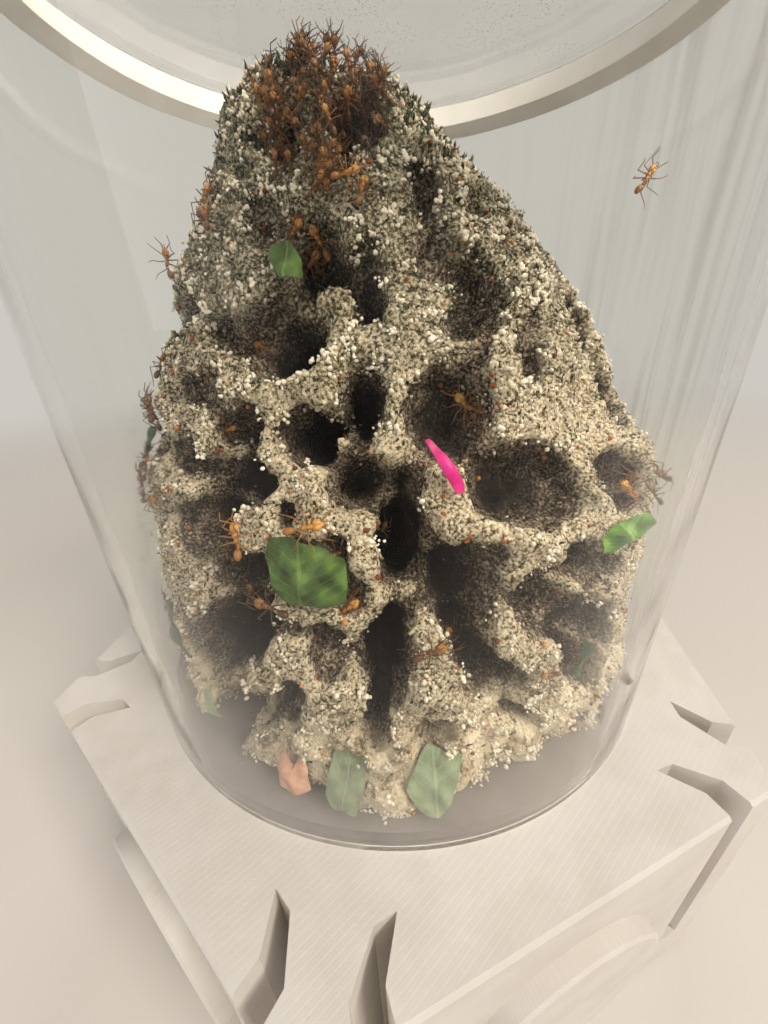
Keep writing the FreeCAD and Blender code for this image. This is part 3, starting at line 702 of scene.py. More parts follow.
def strewnHollow(kind, taken):
    # one more egg at a random place, or nothing where it would come too near the others
    azimuth = chance.uniform(0, 2 * math.pi)
    height = chance.uniform(garden['sections'][0][0] + kind['fromFloor'],
                            garden['sections'][-1][0] - hollowShape['fromTop'])
    wide, tall, deep = [chance.uniform(*kind[name]) / 2 for name in ('wide', 'tall', 'deep')]
    radius = float(gardenRadius(height))
    middleX, middleY = gardenMiddle(height)
    middle = Vector((middleX + radius * math.cos(azimuth), middleY + radius * math.sin(azimuth), height))
    smallest = hollowShape['smallest']
    shrink = smallest + (1 - smallest) * min(1.0, radius / hollowShape['fullSizeRadius'])
    reach = max(wide, tall) * shrink
    if any((middle - other).length < reach + otherReach * kind['apart'] + kind['wall']
           for other, otherReach in taken):
        return None
    aside, upward, outward = wallAxes(middle)
    taken.append((middle, reach))
    return addHollow(middle, aside * wide * shrink, upward * tall * shrink, -outward * deep * 2,
                     kind['fineness'])


def gardenHollows():
    hollows, taken = [], []
    for seen in frontHollows:
        hollow, middle, reach = frontHollow(**seen)
        hollows.append(hollow)
        taken.append((middle, reach))
    for kind in otherHollows:
        strewn = [strewnHollow(kind, taken) for _ in range(kind['tries'])]
        hollows += [hollow for hollow in strewn if hollow]
    print('hollows:', len(hollows))
    joined = joinPieces(hollows, 'hollows')
    addModifier(joined, 'REMESH', mode='VOXEL', voxel_size=hollowShape['voxel'] * mm)
    roughen(joined, 'CLOUDS', hollowShape['lumpSize'], hollowShape['lumpHeight'])
    return joined


def depthBelow(skin, spots):
    # how far places lie inside a skin, in millimetres, 0 for those outside it
    depths = np.zeros(len(spots))
    for number, spot in enumerate(spots):
        nearest, normal, _, distance = skin.find_nearest(spot)
        if (nearest - Vector(spot)).dot(normal) > 0:
            depths[number] = distance / mm
    return depths


def standingOut(form):
    # how far each corner stands out of the form smoothed over a few millimetres
    soft = addPiece('softened', form.data.copy())
    addModifier(soft, 'SMOOTH', factor=0.5, iterations=garden['softening'])
    outward = np.empty(len(soft.data.vertices) * 3)
    soft.data.vertices.foreach_get('normal', outward)
    apart = cornersOf(form.data) - cornersOf(soft.data)
    removePieces(soft)
    return (apart * outward.reshape(-1, 3)).sum(axis=1) / mm


def roughenGarden(form, heights, depths):
    # puffs near the foot, wrinkles and grains all over
    low = form.vertex_groups.new(name='low')
    puffed = np.interp(heights, (garden['puffTo'], garden['puffFrom']), (1, 0))
    puffed *= np.clip(1 - depths / garden['puffDepth'], 0, 1)
    for corner in np.flatnonzero(puffed > 0.02):
        low.add([int(corner)], float(puffed[corner]), 'REPLACE')
    roughen(form, 'VORONOI', garden['puffSize'], -garden['puffHeight'], 'low')
    roughen(form, 'CLOUDS', garden['wrinkleSize'], garden['wrinkleHeight'])
    roughen(form, 'VORONOI', garden['grainSize'], -garden['grainHeight'])
    form.vertex_groups.clear()


def keepInside(form):
    # nothing reaches the tube or the floor
    spots = cornersOf(form.data) / mm
    reach = np.hypot(spots[:, 0], spots[:, 1])
    spots[:, :2] *= np.minimum(1, garden['widest'] / np.maximum(reach, 1))[:, None]
    spots[:, 2] = np.maximum(spots[:, 2], garden['sections'][0][0] - garden['footSink'])
    setCorners(form.data, spots * mm)


def growGarden():
    form = gardenForm()
    uncut = skinOf(form)
    hollows = gardenHollows()
    addModifier(form, 'BOOLEAN', operation='DIFFERENCE', solver='MANIFOLD', object=hollows)
    removePieces(hollows)
    addModifier(form, 'REMESH', mode='VOXEL', voxel_size=garden['voxel'] * mm)
    form = largestPart(form)
    spots = cornersOf(form.data)
    # the crests between hollows count as skin, however deep they lie
    crests = np.clip(1 - standingOut(form) / garden['crest'], 0, garden['crestMost'])
    depths = depthBelow(uncut, spots) * crests
    roughenGarden(form, spots[:, 2] / mm, depths)
    # the depth darkens the finish and the grains as painted shade in the hollows
    paintCorners(form.data, 'deep', np.clip(depths / garden['deepest'], 0, 1))
    keepInside(form)
    smoothShading(form)
    form.name = form.data.name = 'fungus_body'
    giveFinish(form, fungusFinish())
    inChamber(form, 'fungus_garden')
    print('garden grown:', len(form.data.polygons), 'faces')
    return form


# Leaves, the petal and the dry leaf: sheets cut to an outline, bent and given a thickness.

leafTints = dict(
    fresh=((36, 52, 20), (66, 92, 34), (104, 134, 56), (130, 152, 84)),
    bright=((50, 100, 32), (96, 150, 46), (152, 192, 76), (176, 206, 112)),
    dark=((22, 40, 18), (38, 66, 30), (58, 92, 44), (88, 122, 70)),
    muted=((110, 126, 92), (138, 152, 118), (156, 168, 136), (174, 184, 152)),
    petal=((158, 8, 84), (206, 18, 118), (228, 48, 146), (240, 110, 180)),
    dry=((168, 112, 84), (206, 152, 122), (226, 182, 154), (196, 132, 100)),
)

# outlines in millimetres as seen from outside, right then up; turn is against the clock;
# arch bends it along its width and roll along its height, both as a radius; lift is off the garden
leaves = dict(
    leaf_piece_1=dict(
        outline=((-3.4, 4.4), (-1.4, 4.6), (1.6, 4.0), (4.6, 2.4), (5.0, -0.4), (4.6, -2.6),
                 (0.9, -2.9), (-2.3, -2.4), (-3.4, -0.2), (-4.2, 2.4)),
        tints='fresh', arch=9.0, roll=16.0, lift=1.2),
    leaf_piece_2=dict(
        outline=((-2.2, 2.2), (0.3, 1.9), (1.9, -0.2), (1.8, -1.6), (-0.3, -2.0), (-1.6, -0.2)),
        tints='fresh', arch=5.0, roll=6.0, lift=0.8),
    leaf_piece_3=dict(
        outline=((-3.6, -0.6), (-2.4, 1.7), (1.5, 2.0), (3.4, 1.0), (3.6, -1.1), (1.2, -2.0), (-2.6, -1.8)),
        tints='bright', turn=28.0, swing=-42.0, arch=14.0, roll=1.5, lift=1.8),
    leaf_piece_4=dict(
        outline=((-1.6, 1.9), (1.2, 2.1), (1.9, -0.4), (0.6, -2.1), (-1.7, -1.4)),
        tints='dark', arch=3.0, roll=6.0, lift=1.0),
    leaf_piece_5=dict(
        outline=((-0.9, 4.5), (0.5, 4.0), (1.1, 0.5), (0.8, -4.4), (-0.5, -4.5), (-0.9, 0.0)),
        tints='dark', turn=24.0, arch=1.5, roll=9.0, lift=1.0),
    leaf_piece_6=dict(
        outline=((-2.3, 3.2), (-0.4, 4.5), (1.9, 3.8), (2.4, 0.4), (2.0, -4.2), (-0.8, -4.5), (-2.4, -2.6)),
        tints='muted', turn=-8.0, lean=26.0, arch=40.0, roll=26.0, lift=1.2),
    leaf_piece_7=dict(
        outline=((-0.6, 5.0), (1.8, 3.2), (3.9, 2.9), (3.0, 0.2), (1.3, -4.5), (0.2, -5.0), (-1.7, -4.3),
                 (-3.7, -0.8), (-2.8, 1.4)),
        tints='muted', lean=26.0, arch=40.0, roll=26.0, lift=1.4),
    leaf_piece_8=dict(
        outline=((-0.9, 2.3), (0.8, 2.2), (1.2, -0.3), (0.6, -2.4), (-1.0, -2.2)),
        tints='dark', turn=-30.0, arch=1.0, roll=8.0, lift=0.9),
    leaf_piece_9=dict(
        outline=((-0.9, 2.2), (0.6, 2.4), (1.2, 0.0), (0.7, -2.3), (-0.8, -2.4)),
        tints='muted', turn=12.0, arch=2.5, roll=8.0, lift=1.0),
    petal_piece=dict(
        outline=((-0.4, 3.3), (0.1, 3.2), (0.5, 1.0), (0.9, -2.4), (0.5, -3.3), (-0.3, -3.1), (-0.6, -0.8)),
        tints='petal', turn=26.0, arch=1.2, roll=9.0, lift=1.0),
    dry_leaf_piece=dict(
        outline=((-2.3, -2.7), (0.4, -3.0), (2.3, -2.6), (2.5, 0.5), (1.4, 2.9), (0.5, 0.9), (-1.2, 2.9),
                 (-2.4, 0.8)),
        tints='dry', turn=8.0, lean=26.0, arch=4.0, roll=9.0, lift=1.0),
)
leafSheet = dict(cuts=22, thickness=0.22, ripple=0.33, nearTube=0.3, sharpEdge=40, clearance=0.5,
                 pressFrom=6, pressBeside=0.6)
clearings = []  # where the leaves lie, filled in as they are made


def outlineShares(outline):
    # how far round a closed outline each of its corners lies, from 0 to 1
    lengths = np.linalg.norm(np.diff(np.array(outline + outline[:1]), axis=0), axis=1)
    return np.concatenate([[0], np.cumsum(lengths)]) / lengths.sum()


def alongOutline(outline, share):
    # places on a closed outline, from share 0 to 1 round its edge
    corners = np.array(outline + outline[:1])
    return np.stack([np.interp(share, outlineShares(outline), corners[:, axis]) for axis in (0, 1)], axis=-1)


def leafAxes(seat, turn, lean, swing):
    # the sheet's own directions: turned in its plane, leant back to face upwards, swung to face aside
    aside, upward, outward = wallAxes(seat)
    for angle, first, second in ((swing, 'outward', 'aside'), (lean, 'outward', 'upward'),
                                 (turn, 'aside', 'upward')):
        along = dict(aside=aside, upward=upward, outward=outward)
        cosine, sine = math.cos(math.radians(angle)), math.sin(math.radians(angle))
        along[first], along[second] = (along[first] * cosine + along[second] * sine,
                                       along[second] * cosine - along[first] * sine)
        aside, upward, outward = along['aside'], along['upward'], along['outward']
    return aside, upward, outward


def cutSheet(outline):
    # a flat grid drawn out to the outline, and where its corners lie
    deselectAll()
    cuts = leafSheet['cuts']
    bpy.ops.mesh.primitive_grid_add(x_subdivisions=cuts, y_subdivisions=cuts, size=2)
    leaf = bpy.context.object
    mesh = leaf.data
    flat = cornersOf(mesh)[:, :2]
    # the square's edge, counted round from its first corner, goes to the outline
    start = math.atan2(outline[0][1], outline[0][0])
    around = ((np.arctan2(flat[:, 1], flat[:, 0]) - start) / (2 * math.pi)) % 1
    corners = (np.array([math.atan2(y, x) for x, y in outline]) - start) / (2 * math.pi) % 1
    if corners[1] > 0.5:
        # the outline runs with the clock
        corners = (1 - corners) % 1
        around = (1 - around) % 1
    share = np.interp(around, np.append(corners, 1), outlineShares(outline))
    sheet = alongOutline(outline, share) * np.abs(flat).max(axis=1)[:, None]
    onMap = sheet / np.ptp(np.array(outline), axis=0) + 0.5
    uses = np.empty(len(mesh.loops), int)
    mesh.loops.foreach_get('vertex_index', uses)
    mesh.uv_layers.new(name='leafMap').data.foreach_set('uv', onMap[uses].ravel())
    return leaf, sheet


def bendSheet(sheet, seat, axes, arch, roll, lift):
    # bent about both axes, with small ripples, and kept off the tube
    x, y = sheet.T
    spots = np.column_stack([
        arch * np.sin(x / arch), roll * np.sin(y / roll),
        lift - arch * (1 - np.cos(x / arch)) - roll * (1 - np.cos(y / roll))
        + leafSheet['ripple'] * np.sin(x * 1.7 + seat.z) * np.cos(y * 1.3 + seat.x)])
    spots = np.array(seat) + spots @ np.array(axes)
    reach = np.hypot(spots[:, 0], spots[:, 1])
    spots[:, :2] *= np.minimum(1, (garden['widest'] + leafSheet['nearTube']) / reach)[:, None]
    return spots


def addLeaf(name, finish, outline, arch, roll, lift, turn=0.0, lean=0.0, swing=0.0):
    low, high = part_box(name)
    seat = (low + high) / 2 / mm
    axes = leafAxes(seat, turn, lean, swing)
    leaf, sheet = cutSheet(outline)
    spots = bendSheet(sheet, seat, axes, arch, roll, lift)
    setCorners(leaf.data, spots * mm)
    faceOutwards(leaf)
    addModifier(leaf, 'SOLIDIFY', thickness=leafSheet['thickness'] * mm, offset=0.0)
    bpy.ops.object.shade_smooth_by_angle(angle=math.radians(leafSheet['sharpEdge']))
    leaf.name = leaf.data.name = name + '_sheet'
    giveFinish(leaf, finish)
    inChamber(leaf, name)
    clearings.append(dict(middle=spots.mean(axis=0), outward=np.array(axes[2]), spots=spots,
                          reach=np.ptp(np.array(outline), axis=0).min() / 2))


def nearLeaf(clearing, spots, share):
    # numbers of the places that a leaf may cover
    away = np.linalg.norm(spots - clearing['middle'], axis=1)
    return np.flatnonzero(away < clearing['reach'] * share + 2)


def pastLeaf(clearing, spot):
    # from a place to each point of a leaf: the whole way, and the part of it along the sheet
    away = clearing['spots'] - spot
    return away, away - np.outer(away @ clearing['outward'], clearing['outward'])


def makeRoom(body):
    # presses the garden in where it would stand through a leaf
    spots = cornersOf(body.data) / mm
    for clearing in clearings:
        for corner in nearLeaf(clearing, spots, 2.5):
            away, beside = pastLeaf(clearing, spots[corner])
            closest = np.linalg.norm(beside, axis=1).argmin()
            if np.linalg.norm(beside[closest]) < leafSheet['pressBeside']:
                height = -(away[closest] @ clearing['outward'])
                if -leafSheet['clearance'] < height < leafSheet['pressFrom']:
                    spots[corner] -= clearing['outward'] * (height + leafSheet['clearance'])
    setCorners(body.data, spots * mm)


def addLeaves(body):
    finishes = {name: leafFinish('leaf_' + name, tints, veins=name not in ('petal', 'dry'))
                for name, tints in leafTints.items()}
    for name, leaf in leaves.items():
        shape = {key: value for key, value in leaf.items() if key != 'tints'}
        addLeaf(name, finishes[leaf['tints']], **shape)
    makeRoom(body)
    print('leaves placed')


# Grains and plant bits on the garden.

def openGround(spots):
    # 0 under a leaf, else 1
    ground = np.ones(len(spots))
    for clearing in clearings:
        for number in nearLeaf(clearing, spots, 2):
            _, beside = pastLeaf(clearing, spots[number])
            if np.linalg.norm(beside, axis=1).min() < leafSheet['clearance']:
                ground[number] = 0
    return ground


def surfacePoints(piece, count, weigh):
    # random points on a mesh, more where weigh gives more: places, normals and depth there
    mesh = piece.data
    mesh.calc_loop_triangles()
    triangles = np.empty(len(mesh.loop_triangles) * 3, int)
    mesh.loop_triangles.foreach_get('vertices', triangles)
    triangles = triangles.reshape(-1, 3)
    first, second, third = [cornersOf(mesh)[triangles[:, corner]] for corner in range(3)]
    normals = np.cross(second - first, third - first)
    area = np.linalg.norm(normals, axis=1)
    middles = (first + second + third) / 3
    depths = readCorners(mesh, 'deep')[triangles].mean(axis=1)
    weights = area * weigh(depths, middles / mm) * openGround(middles / mm)
    picked = chance.choice(len(triangles), size=count, p=weights / weights.sum())
    u, v = chance.random((2, count, 1))
    flip = u + v > 1
    u, v = np.where(flip, 1 - u, u), np.where(flip, 1 - v, v)
    places = first[picked] * (1 - u - v) + second[picked] * u + third[picked] * v
    return places, normals[picked] / np.maximum(area[picked], 1e-12)[:, None], depths[picked]


def scatter(name, pattern, places, turns, sizes, tones, finish, uneven=0.0):
    # one mesh of many copies of a small pattern, each a little different where uneven is given
    corners, faces = pattern
    count = len(places)
    shapes = corners[None] * sizes[:, None, :]
    shapes = shapes * chance.uniform(1 - uneven, 1 + uneven, (count, len(corners), 1))
    spots = np.einsum('nij,npj->npi', turns, shapes) + places[:, None, :]
    firstCorners = (np.arange(count) * len(corners))[:, None, None]
    allFaces = (faces[None] + firstCorners).reshape(-1, faces.shape[1])
    mesh = bpy.data.meshes.new(name)
    mesh.from_pydata(spots.reshape(-1, 3).tolist(), [], allFaces.tolist())
    paintCorners(mesh, 'tone', np.repeat(tones, len(corners)))
    piece = addPiece(name, mesh)
    smoothShading(piece)
    giveFinish(piece, finish)
    inChamber(piece)


def smallBall():
    deselectAll()
    bpy.ops.mesh.primitive_ico_sphere_add(subdivisions=1, radius=0.5)
    ball = bpy.context.object
    corners = cornersOf(ball.data)
    faces = np.array([list(face.vertices) for face in ball.data.polygons])
    removePieces(ball)
    return corners, faces


def smallShred():
    # a flake with pointed ends, unit length along Z
    corners = np.array([(0, 0, -0.5), (0.5, 0.1, -0.1), (0, 0.5, 0.05), (-0.5, -0.1, 0.1), (0, -0.4, 0),
                        (0, 0, 0.5)])
    faces = np.array([(0, 2, 1), (0, 3, 2), (0, 4, 3), (0, 1, 4), (5, 1, 2), (5, 2, 3), (5, 3, 4), (5, 4, 1)])
    return corners, faces


def turnsAlong(directions):
    # rotations that take Z along the directions, each with its own spin
    upward = directions / np.linalg.norm(directions, axis=1)[:, None]
    aside = np.cross(chance.normal(size=upward.shape), upward)
    aside /= np.linalg.norm(aside, axis=1)[:, None]
    return np.stack([aside, np.cross(upward, aside), upward], axis=2)


def randomTurns(count):
    return turnsAlong(chance.normal(size=(count, 3)))


def ridgeShare(depths, spots):
    # most on the ridges, more near the foot and the crown, few under the crowd of ants
    low = 1 + np.clip((72 - spots[:, 2]) / 10, 0, 1)
    high = 1 + np.clip((spots[:, 2] - grains['highFrom']) / grains['highOver'], 0, 1)
    fromCrowd = np.linalg.norm(spots - np.array(onGarden(*grains['crowdAt'])), axis=1)
    return np.clip(1.5 - depths / 0.11, 0.0, 1) * low * high * np.clip(fromCrowd / 9 - 0.2, 0.3, 1)


def wallShare(depths, spots):
    # only inside the hollows, fewer at their ends
    return np.clip(depths / 0.1 - 0.4, 0, 1) * np.clip(1.15 - depths * 1.2, 0.1, 1)


grains = dict(
    perPiece=9600, squash=(0.7, 1.25), uneven=0.18, clumpReach=0.5, clumpFlat=0.75, clumpSpread=0.2,
    toneSpread=0.12, paintedCrownLight=0.2, highFrom=96, highOver=20, raised=0.12, crowdAt=(326, 126),
)
grainKinds = (
    dict(piece='fungus_grains', pieces=5, where=ridgeShare, size=(0.24, 0.66), clump=10,
         finish='fungus_grain', tone=0.68, paintedShadeByDepth=1.2,
         tints=((0.0, (74, 65, 46)), (0.2, (150, 136, 110)), (0.5, (212, 199, 174)), (1.0, (243, 233, 213))),
         mossy=((0.0, (20, 24, 13)), (0.4, (54, 56, 32)), (0.7, (120, 114, 82)), (1.0, (218, 208, 180)))),
    dict(piece='fungus_wall_grains', pieces=2, where=wallShare, size=(0.2, 0.5), clump=5,
         finish='fungus_wall_grain', tone=0.72, paintedShadeByDepth=0.8,
         tints=((0.0, (22, 17, 12)), (0.3, (66, 56, 44)), (0.6, (136, 121, 101)), (1.0, (220, 207, 184))),
         mossy=None),
)


def addGrains(name, body, kind, finish):
    # small balls in clumps, each clump with a tone of its own, darker with depth as painted shade in the
    # hollows and paler towards the crown as painted light
    clump = kind['clump']
    seeds, normals, depths = surfacePoints(body, grains['perPiece'] // clump, kind['where'])
    clumpTones = chance.normal(kind['tone'], grains['clumpSpread'], len(seeds))
    seeds, normals, depths = [np.repeat(values, clump, axis=0) for values in (seeds, normals, depths)]
    count = len(seeds)
    stray = chance.normal(0, grains['clumpReach'] * mm, (count, 3))
    stray -= normals * (stray * normals).sum(axis=1)[:, None] * grains['clumpFlat']
    smallest, largest = kind['size']
    width = (smallest + (largest - smallest) * chance.random(count) ** 2) * mm
    sizes = width[:, None] * chance.uniform(*grains['squash'], (count, 3))
    high = np.clip((seeds[:, 2] / mm - grains['highFrom']) / grains['highOver'], 0, 1)
    # painted shade deeper in the hollows, painted light towards the crown
    tones = np.clip(np.repeat(clumpTones, clump) + chance.normal(0, grains['toneSpread'], count)
                    - depths * kind['paintedShadeByDepth'] + grains['paintedCrownLight'] * high, 0, 1)
    places = seeds + stray + normals * (width[:, None] * grains['raised'])
    scatter(name, smallBall(), places, randomTurns(count), sizes, tones, finish, grains['uneven'])


def coverWithGrains(body):
    for kind in grainKinds:
        finish = grainFinish(kind['finish'], kind['tints'], mossy=kind['mossy'])
        for number in range(kind['pieces']):
            addGrains('%s_%d' % (kind['piece'], number + 1), body, kind, finish)
    print('grains placed')


def shredShare(depths, spots):
    # more towards the crown
    return np.clip((spots[:, 2] - 60) / 60, 0.1, 1.4) * np.clip(1 - depths / 0.5, 0.05, 1)


def bristleShare(depths, spots):
    # only at the crown
    return np.clip((spots[:, 2] - shreds['bristlesFrom']) / 20, 0, 1) * np.clip(1 - depths / 0.3, 0.1, 1)


def speckShare(depths, spots):
    return np.clip(1 - depths / 0.6, 0.1, 1)


shreds = dict(
    tints=((0.0, (14, 16, 9)), (0.35, (34, 38, 20)), (0.7, (58, 66, 32)), (1.0, (96, 98, 54))),
    lying=dict(name='plant_shreds', count=8500, where=shredShare, length=(0.4, 1.2), width=(0.15, 0.36),
               upright=0.0),
    standing=dict(name='plant_bristles', count=700, where=bristleShare, length=(0.6, 1.6), width=(0.3, 0.7),
                  upright=1.8),
    bristlesFrom=122.0, roughness=0.55,
)
specks = dict(
    count=1300, size=(0.35, 0.8), squash=(0.6, 1.2), raised=0.1, roughness=0.5,
    tints=((0.0, (92, 44, 16)), (0.5, (158, 88, 36)), (1.0, (206, 140, 74))),
)


def addFlakes(body, finish, name, count, where, length, width, upright):
    # upright is how strongly they stand up from the surface
    places, normals, _ = surfacePoints(body, count, where)
    sizes = np.column_stack([chance.uniform(*width, (count, 2)), chance.uniform(*length, count)]) * mm
    along = chance.normal(size=(count, 3)) + upright * (normals + np.array((0, 0, 0.8)))
    places = places + normals * sizes[:, 2:] * (0.1 + 0.12 * upright)
    scatter(name, smallShred(), places, turnsAlong(along), sizes, chance.random(count), finish)


def addShreds(body):
    green = grainFinish('plant_shreds', shreds['tints'], shreds['roughness'])
    brown = grainFinish('brown_specks', specks['tints'], specks['roughness'])
    addFlakes(body, green, **shreds['lying'])
    addFlakes(body, green, **shreds['standing'])
    places, normals, _ = surfacePoints(body, specks['count'], speckShare)
    count = len(places)
    sizes = (chance.uniform(*specks['size'], count) * mm)[:, None]
    sizes = sizes * chance.uniform(*specks['squash'], (count, 3))
    scatter('brown_specks', smallBall(), places + normals * specks['raised'] * mm, randomTurns(count), sizes,
            chance.random(count), brown)
    print('shreds and specks placed')


# Worker ants, modelled in millimetres with the head along Y and the feet on the ground.

antBody = (  # tail, two links, back, shoulders, the head's two lobes and the face
    dict(at=(0, -1.72, 0.85), half=(0.43, 0.66, 0.39), tone=0.42),
    dict(at=(0, -0.98, 0.72), half=(0.18, 0.17, 0.2), tone=0.5),
    dict(at=(0, -0.62, 0.72), half=(0.14, 0.16, 0.19), tone=0.5),
    dict(at=(0, -0.2, 0.85), half=(0.27, 0.42, 0.26), tone=0.6),
    dict(at=(0, 0.42, 0.98), half=(0.31, 0.4, 0.31), tone=0.66),
    dict(at=(0.24, 1.12, 0.98), half=(0.33, 0.48, 0.3), tone=0.78),
    dict(at=(-0.24, 1.12, 0.98), half=(0.33, 0.48, 0.3), tone=0.78),
    dict(at=(0, 1.42, 0.92), half=(0.4, 0.34, 0.25), tone=0.8),
)
# one side's three legs and feeler, as points from the body outwards
antLimbs = dict(
    walking=(
        ((0.25, 0.5, 0.8), (1.1, 1.0, 1.5), (1.6, 1.5, 0.45), (1.9, 2.1, 0.02)),
        ((0.28, 0.1, 0.75), (1.4, 0.1, 1.6), (2.1, -0.1, 0.45), (2.6, -0.3, 0.02)),
        ((0.25, -0.3, 0.75), (1.2, -0.9, 1.7), (1.8, -1.9, 0.5), (2.1, -2.7, 0.02)),
        ((0.25, 1.6, 1.05), (0.8, 2.3, 1.4), (1.1, 3.2, 0.8)),
    ),
    standing=(
        ((0.25, 0.5, 0.8), (0.9, 1.3, 1.7), (1.1, 2.0, 0.8), (1.2, 2.7, 0.1)),
        ((0.28, 0.1, 0.75), (1.5, 0.4, 1.8), (2.3, 0.4, 0.6), (2.9, 0.4, 0.02)),
        ((0.25, -0.3, 0.75), (1.4, -0.6, 1.9), (2.3, -1.2, 0.6), (2.8, -1.9, 0.02)),
        ((0.25, 1.6, 1.05), (0.9, 2.0, 1.9), (1.2, 2.9, 1.7)),
    ),
    reaching=(
        ((0.25, 0.5, 0.8), (0.8, 1.4, 1.2), (0.9, 2.4, 0.9), (0.8, 3.2, 0.5)),
        ((0.28, 0.1, 0.75), (1.3, 0.5, 1.5), (1.9, 0.9, 0.5), (2.3, 1.3, 0.02)),
        ((0.25, -0.3, 0.75), (1.1, -1.2, 1.6), (1.4, -2.2, 0.6), (1.5, -3.1, 0.02)),
        ((0.25, 1.6, 1.05), (0.5, 2.4, 1.5), (0.7, 3.4, 1.3)),
    ),
)
antExtras = (  # a jaw, then the spines on the back
    ((0.16, 1.68, 0.86), (0.24, 1.95, 0.8), (0.05, 2.12, 0.78)), ((0.18, 0.55, 1.2), (0.28, 0.6, 1.48)),
    ((0.14, -0.35, 1.0), (0.2, -0.5, 1.24)),
)
antDetail = dict(legWidth=0.15, thickRoot=1.25, thinning=0.28, stride=0.35, strideBelow=0.6, limbTone=0.42)


def modelAntBody(at, half, tone):
    deselectAll()
    bpy.ops.mesh.primitive_ico_sphere_add(subdivisions=2, radius=1.0, location=at)
    ball = bpy.context.object
    bpy.ops.transform.resize(value=half, center_override=at)
    applyPlace(ball)
    paintCorners(ball.data, 'tone', np.full(len(ball.data.vertices), tone))
    return ball


def modelAntLimbs(pose):
    line = bpy.data.curves.new('limbs', 'CURVE')
    line.dimensions = '3D'
    line.bevel_depth = antDetail['legWidth'] / 2
    line.bevel_resolution = 0
    line.use_fill_caps = True
    for side in (-1, 1):
        for points in antLimbs[pose] + antExtras:
            spline = line.splines.new('POLY')
            spline.points.add(len(points) - 1)
            for number, (x, y, z) in enumerate(points):
                # feet of one side are a stride ahead
                step = side * antDetail['stride'] if number > 1 and z < antDetail['strideBelow'] else 0
                spline.points[number].co = (x * side, y + step, z, 1)
                spline.points[number].radius = antDetail['thickRoot'] - antDetail['thinning'] * number
    limbs = addPiece('limbs', line)
    selectOnly(limbs)
    bpy.ops.object.convert(target='MESH')
    limbs = bpy.context.object
    paintCorners(limbs.data, 'tone', np.full(len(limbs.data.vertices), antDetail['limbTone']))
    return limbs


def modelAnt(pose):
    ant = joinPieces([modelAntBody(**part) for part in antBody] + [modelAntLimbs(pose)], 'ant_' + pose)
    smoothShading(ant)
    return ant


# ants on the garden: picture point, where the head points in the picture (0 right, 90 up), pose, size, tone
# tone is in part painted shade: ants that sit in shadow, such as behind the first leaf and at the tube's
# foot, are given darker tones
seenAnts = (
    dict(at=(258, 532), head=95, pose='standing', lift=1.2, tone=0.25),
    dict(at=(313, 524), head=12, lift=1.4, tone=0.2),
    dict(at=(338, 551), head=200, lift=0.8, tone=-0.25),
    dict(at=(349, 600), head=40, pose='standing', tone=0.05),
    dict(at=(262, 580), head=60, lift=0.8, tone=-0.2),
    dict(at=(282, 596), head=160, pose='reaching', lift=0.8, tone=-0.25),
    dict(at=(380, 525), head=70, size=0.6, tone=0.15), dict(at=(232, 430), head=20, size=0.6, tone=0.2),
    dict(at=(268, 352), head=150, size=0.8, tone=-0.15), dict(at=(463, 405), head=130, tone=0.1),
    dict(at=(476, 412), head=-20, size=0.7, tone=0.15),
    dict(at=(595, 488), head=165, pose='standing', lift=2.2, tone=0.2),
    dict(at=(640, 482), head=175, pose='reaching', lift=2.0, tone=-0.3),
    dict(at=(636, 500), head=120, size=0.8, lift=1.6, tone=-0.3),
    dict(at=(430, 640), head=30, pose='reaching', tone=-0.15),
    dict(at=(445, 628), head=100, size=0.8, tone=-0.2), dict(at=(540, 664), head=170, size=0.75, tone=0.0),
    dict(at=(312, 262), head=60, tone=-0.05), dict(at=(325, 243), head=110, tone=0.0),
    dict(at=(300, 238), head=40, size=0.9, tone=-0.1),
    dict(at=(214, 206), head=60, pose='reaching', tone=0.0),
    dict(at=(213, 226), head=110, pose='reaching', tone=-0.05),
    dict(at=(167, 368), head=80, tone=-0.1), dict(at=(150, 408), head=100, pose='reaching', tone=0.0),
    dict(at=(140, 416), head=150, pose='standing', tone=-0.1), dict(at=(154, 432), head=70, tone=-0.1),
    dict(at=(148, 452), head=100, pose='standing', tone=-0.15), dict(at=(153, 468), head=60, tone=-0.1),
    dict(at=(148, 482), head=120, pose='reaching', tone=-0.2), dict(at=(156, 497), head=10, tone=-0.05),
    dict(at=(168, 598), head=150, size=0.8, tone=-0.4), dict(at=(178, 606), head=40, size=0.7, tone=-0.3),
    dict(at=(335, 762), head=90, size=0.7, tone=-0.2),
    dict(at=(347, 188), head=30, pose='standing', size=0.8, lift=0.5, tone=0.25),
    dict(at=(362, 196), head=75, size=0.75, tone=0.1),
    dict(at=(336, 176), head=140, pose='reaching', size=0.8, tone=0.1),
    dict(at=(335, 82), head=88, size=0.8, tone=-0.1, rear=20),
    dict(at=(318, 88), head=100, size=0.75, tone=-0.2),
    dict(at=(352, 90), head=75, size=0.75, tone=-0.1), dict(at=(298, 98), head=110, size=0.75, tone=-0.2),
)
hiddenAnts = (  # on the far side: azimuth, height, where the head points as seen from outside
    dict(around=30, height=129, head=90), dict(around=120, height=119, head=60),
    dict(around=60, height=83, head=20),
)
tubeAnts = (  # on the inside of the tube's near wall
    dict(at=(172, 262), head=85, size=0.44, tone=-0.1), dict(at=(640, 180), head=60, size=0.46, tone=0.15),
)
tubeInside = dict(radius=47.9, start=5, end=120, count=4000)
crowd = dict(
    # a dense group of workers at the crown, many of them reared up: picture point and spread there
    count=92, middle=(326, 126), spread=(60, 72), pile=1.2, size=(0.56, 0.82), tones=(-0.45, 0.1),
    heads=(90, 45), rear=(15, 62),
)


def headInPicture(degrees):
    angle = math.radians(degrees)
    return Vector(view['right']) * math.cos(angle) + Vector(view['up']) * math.sin(angle)


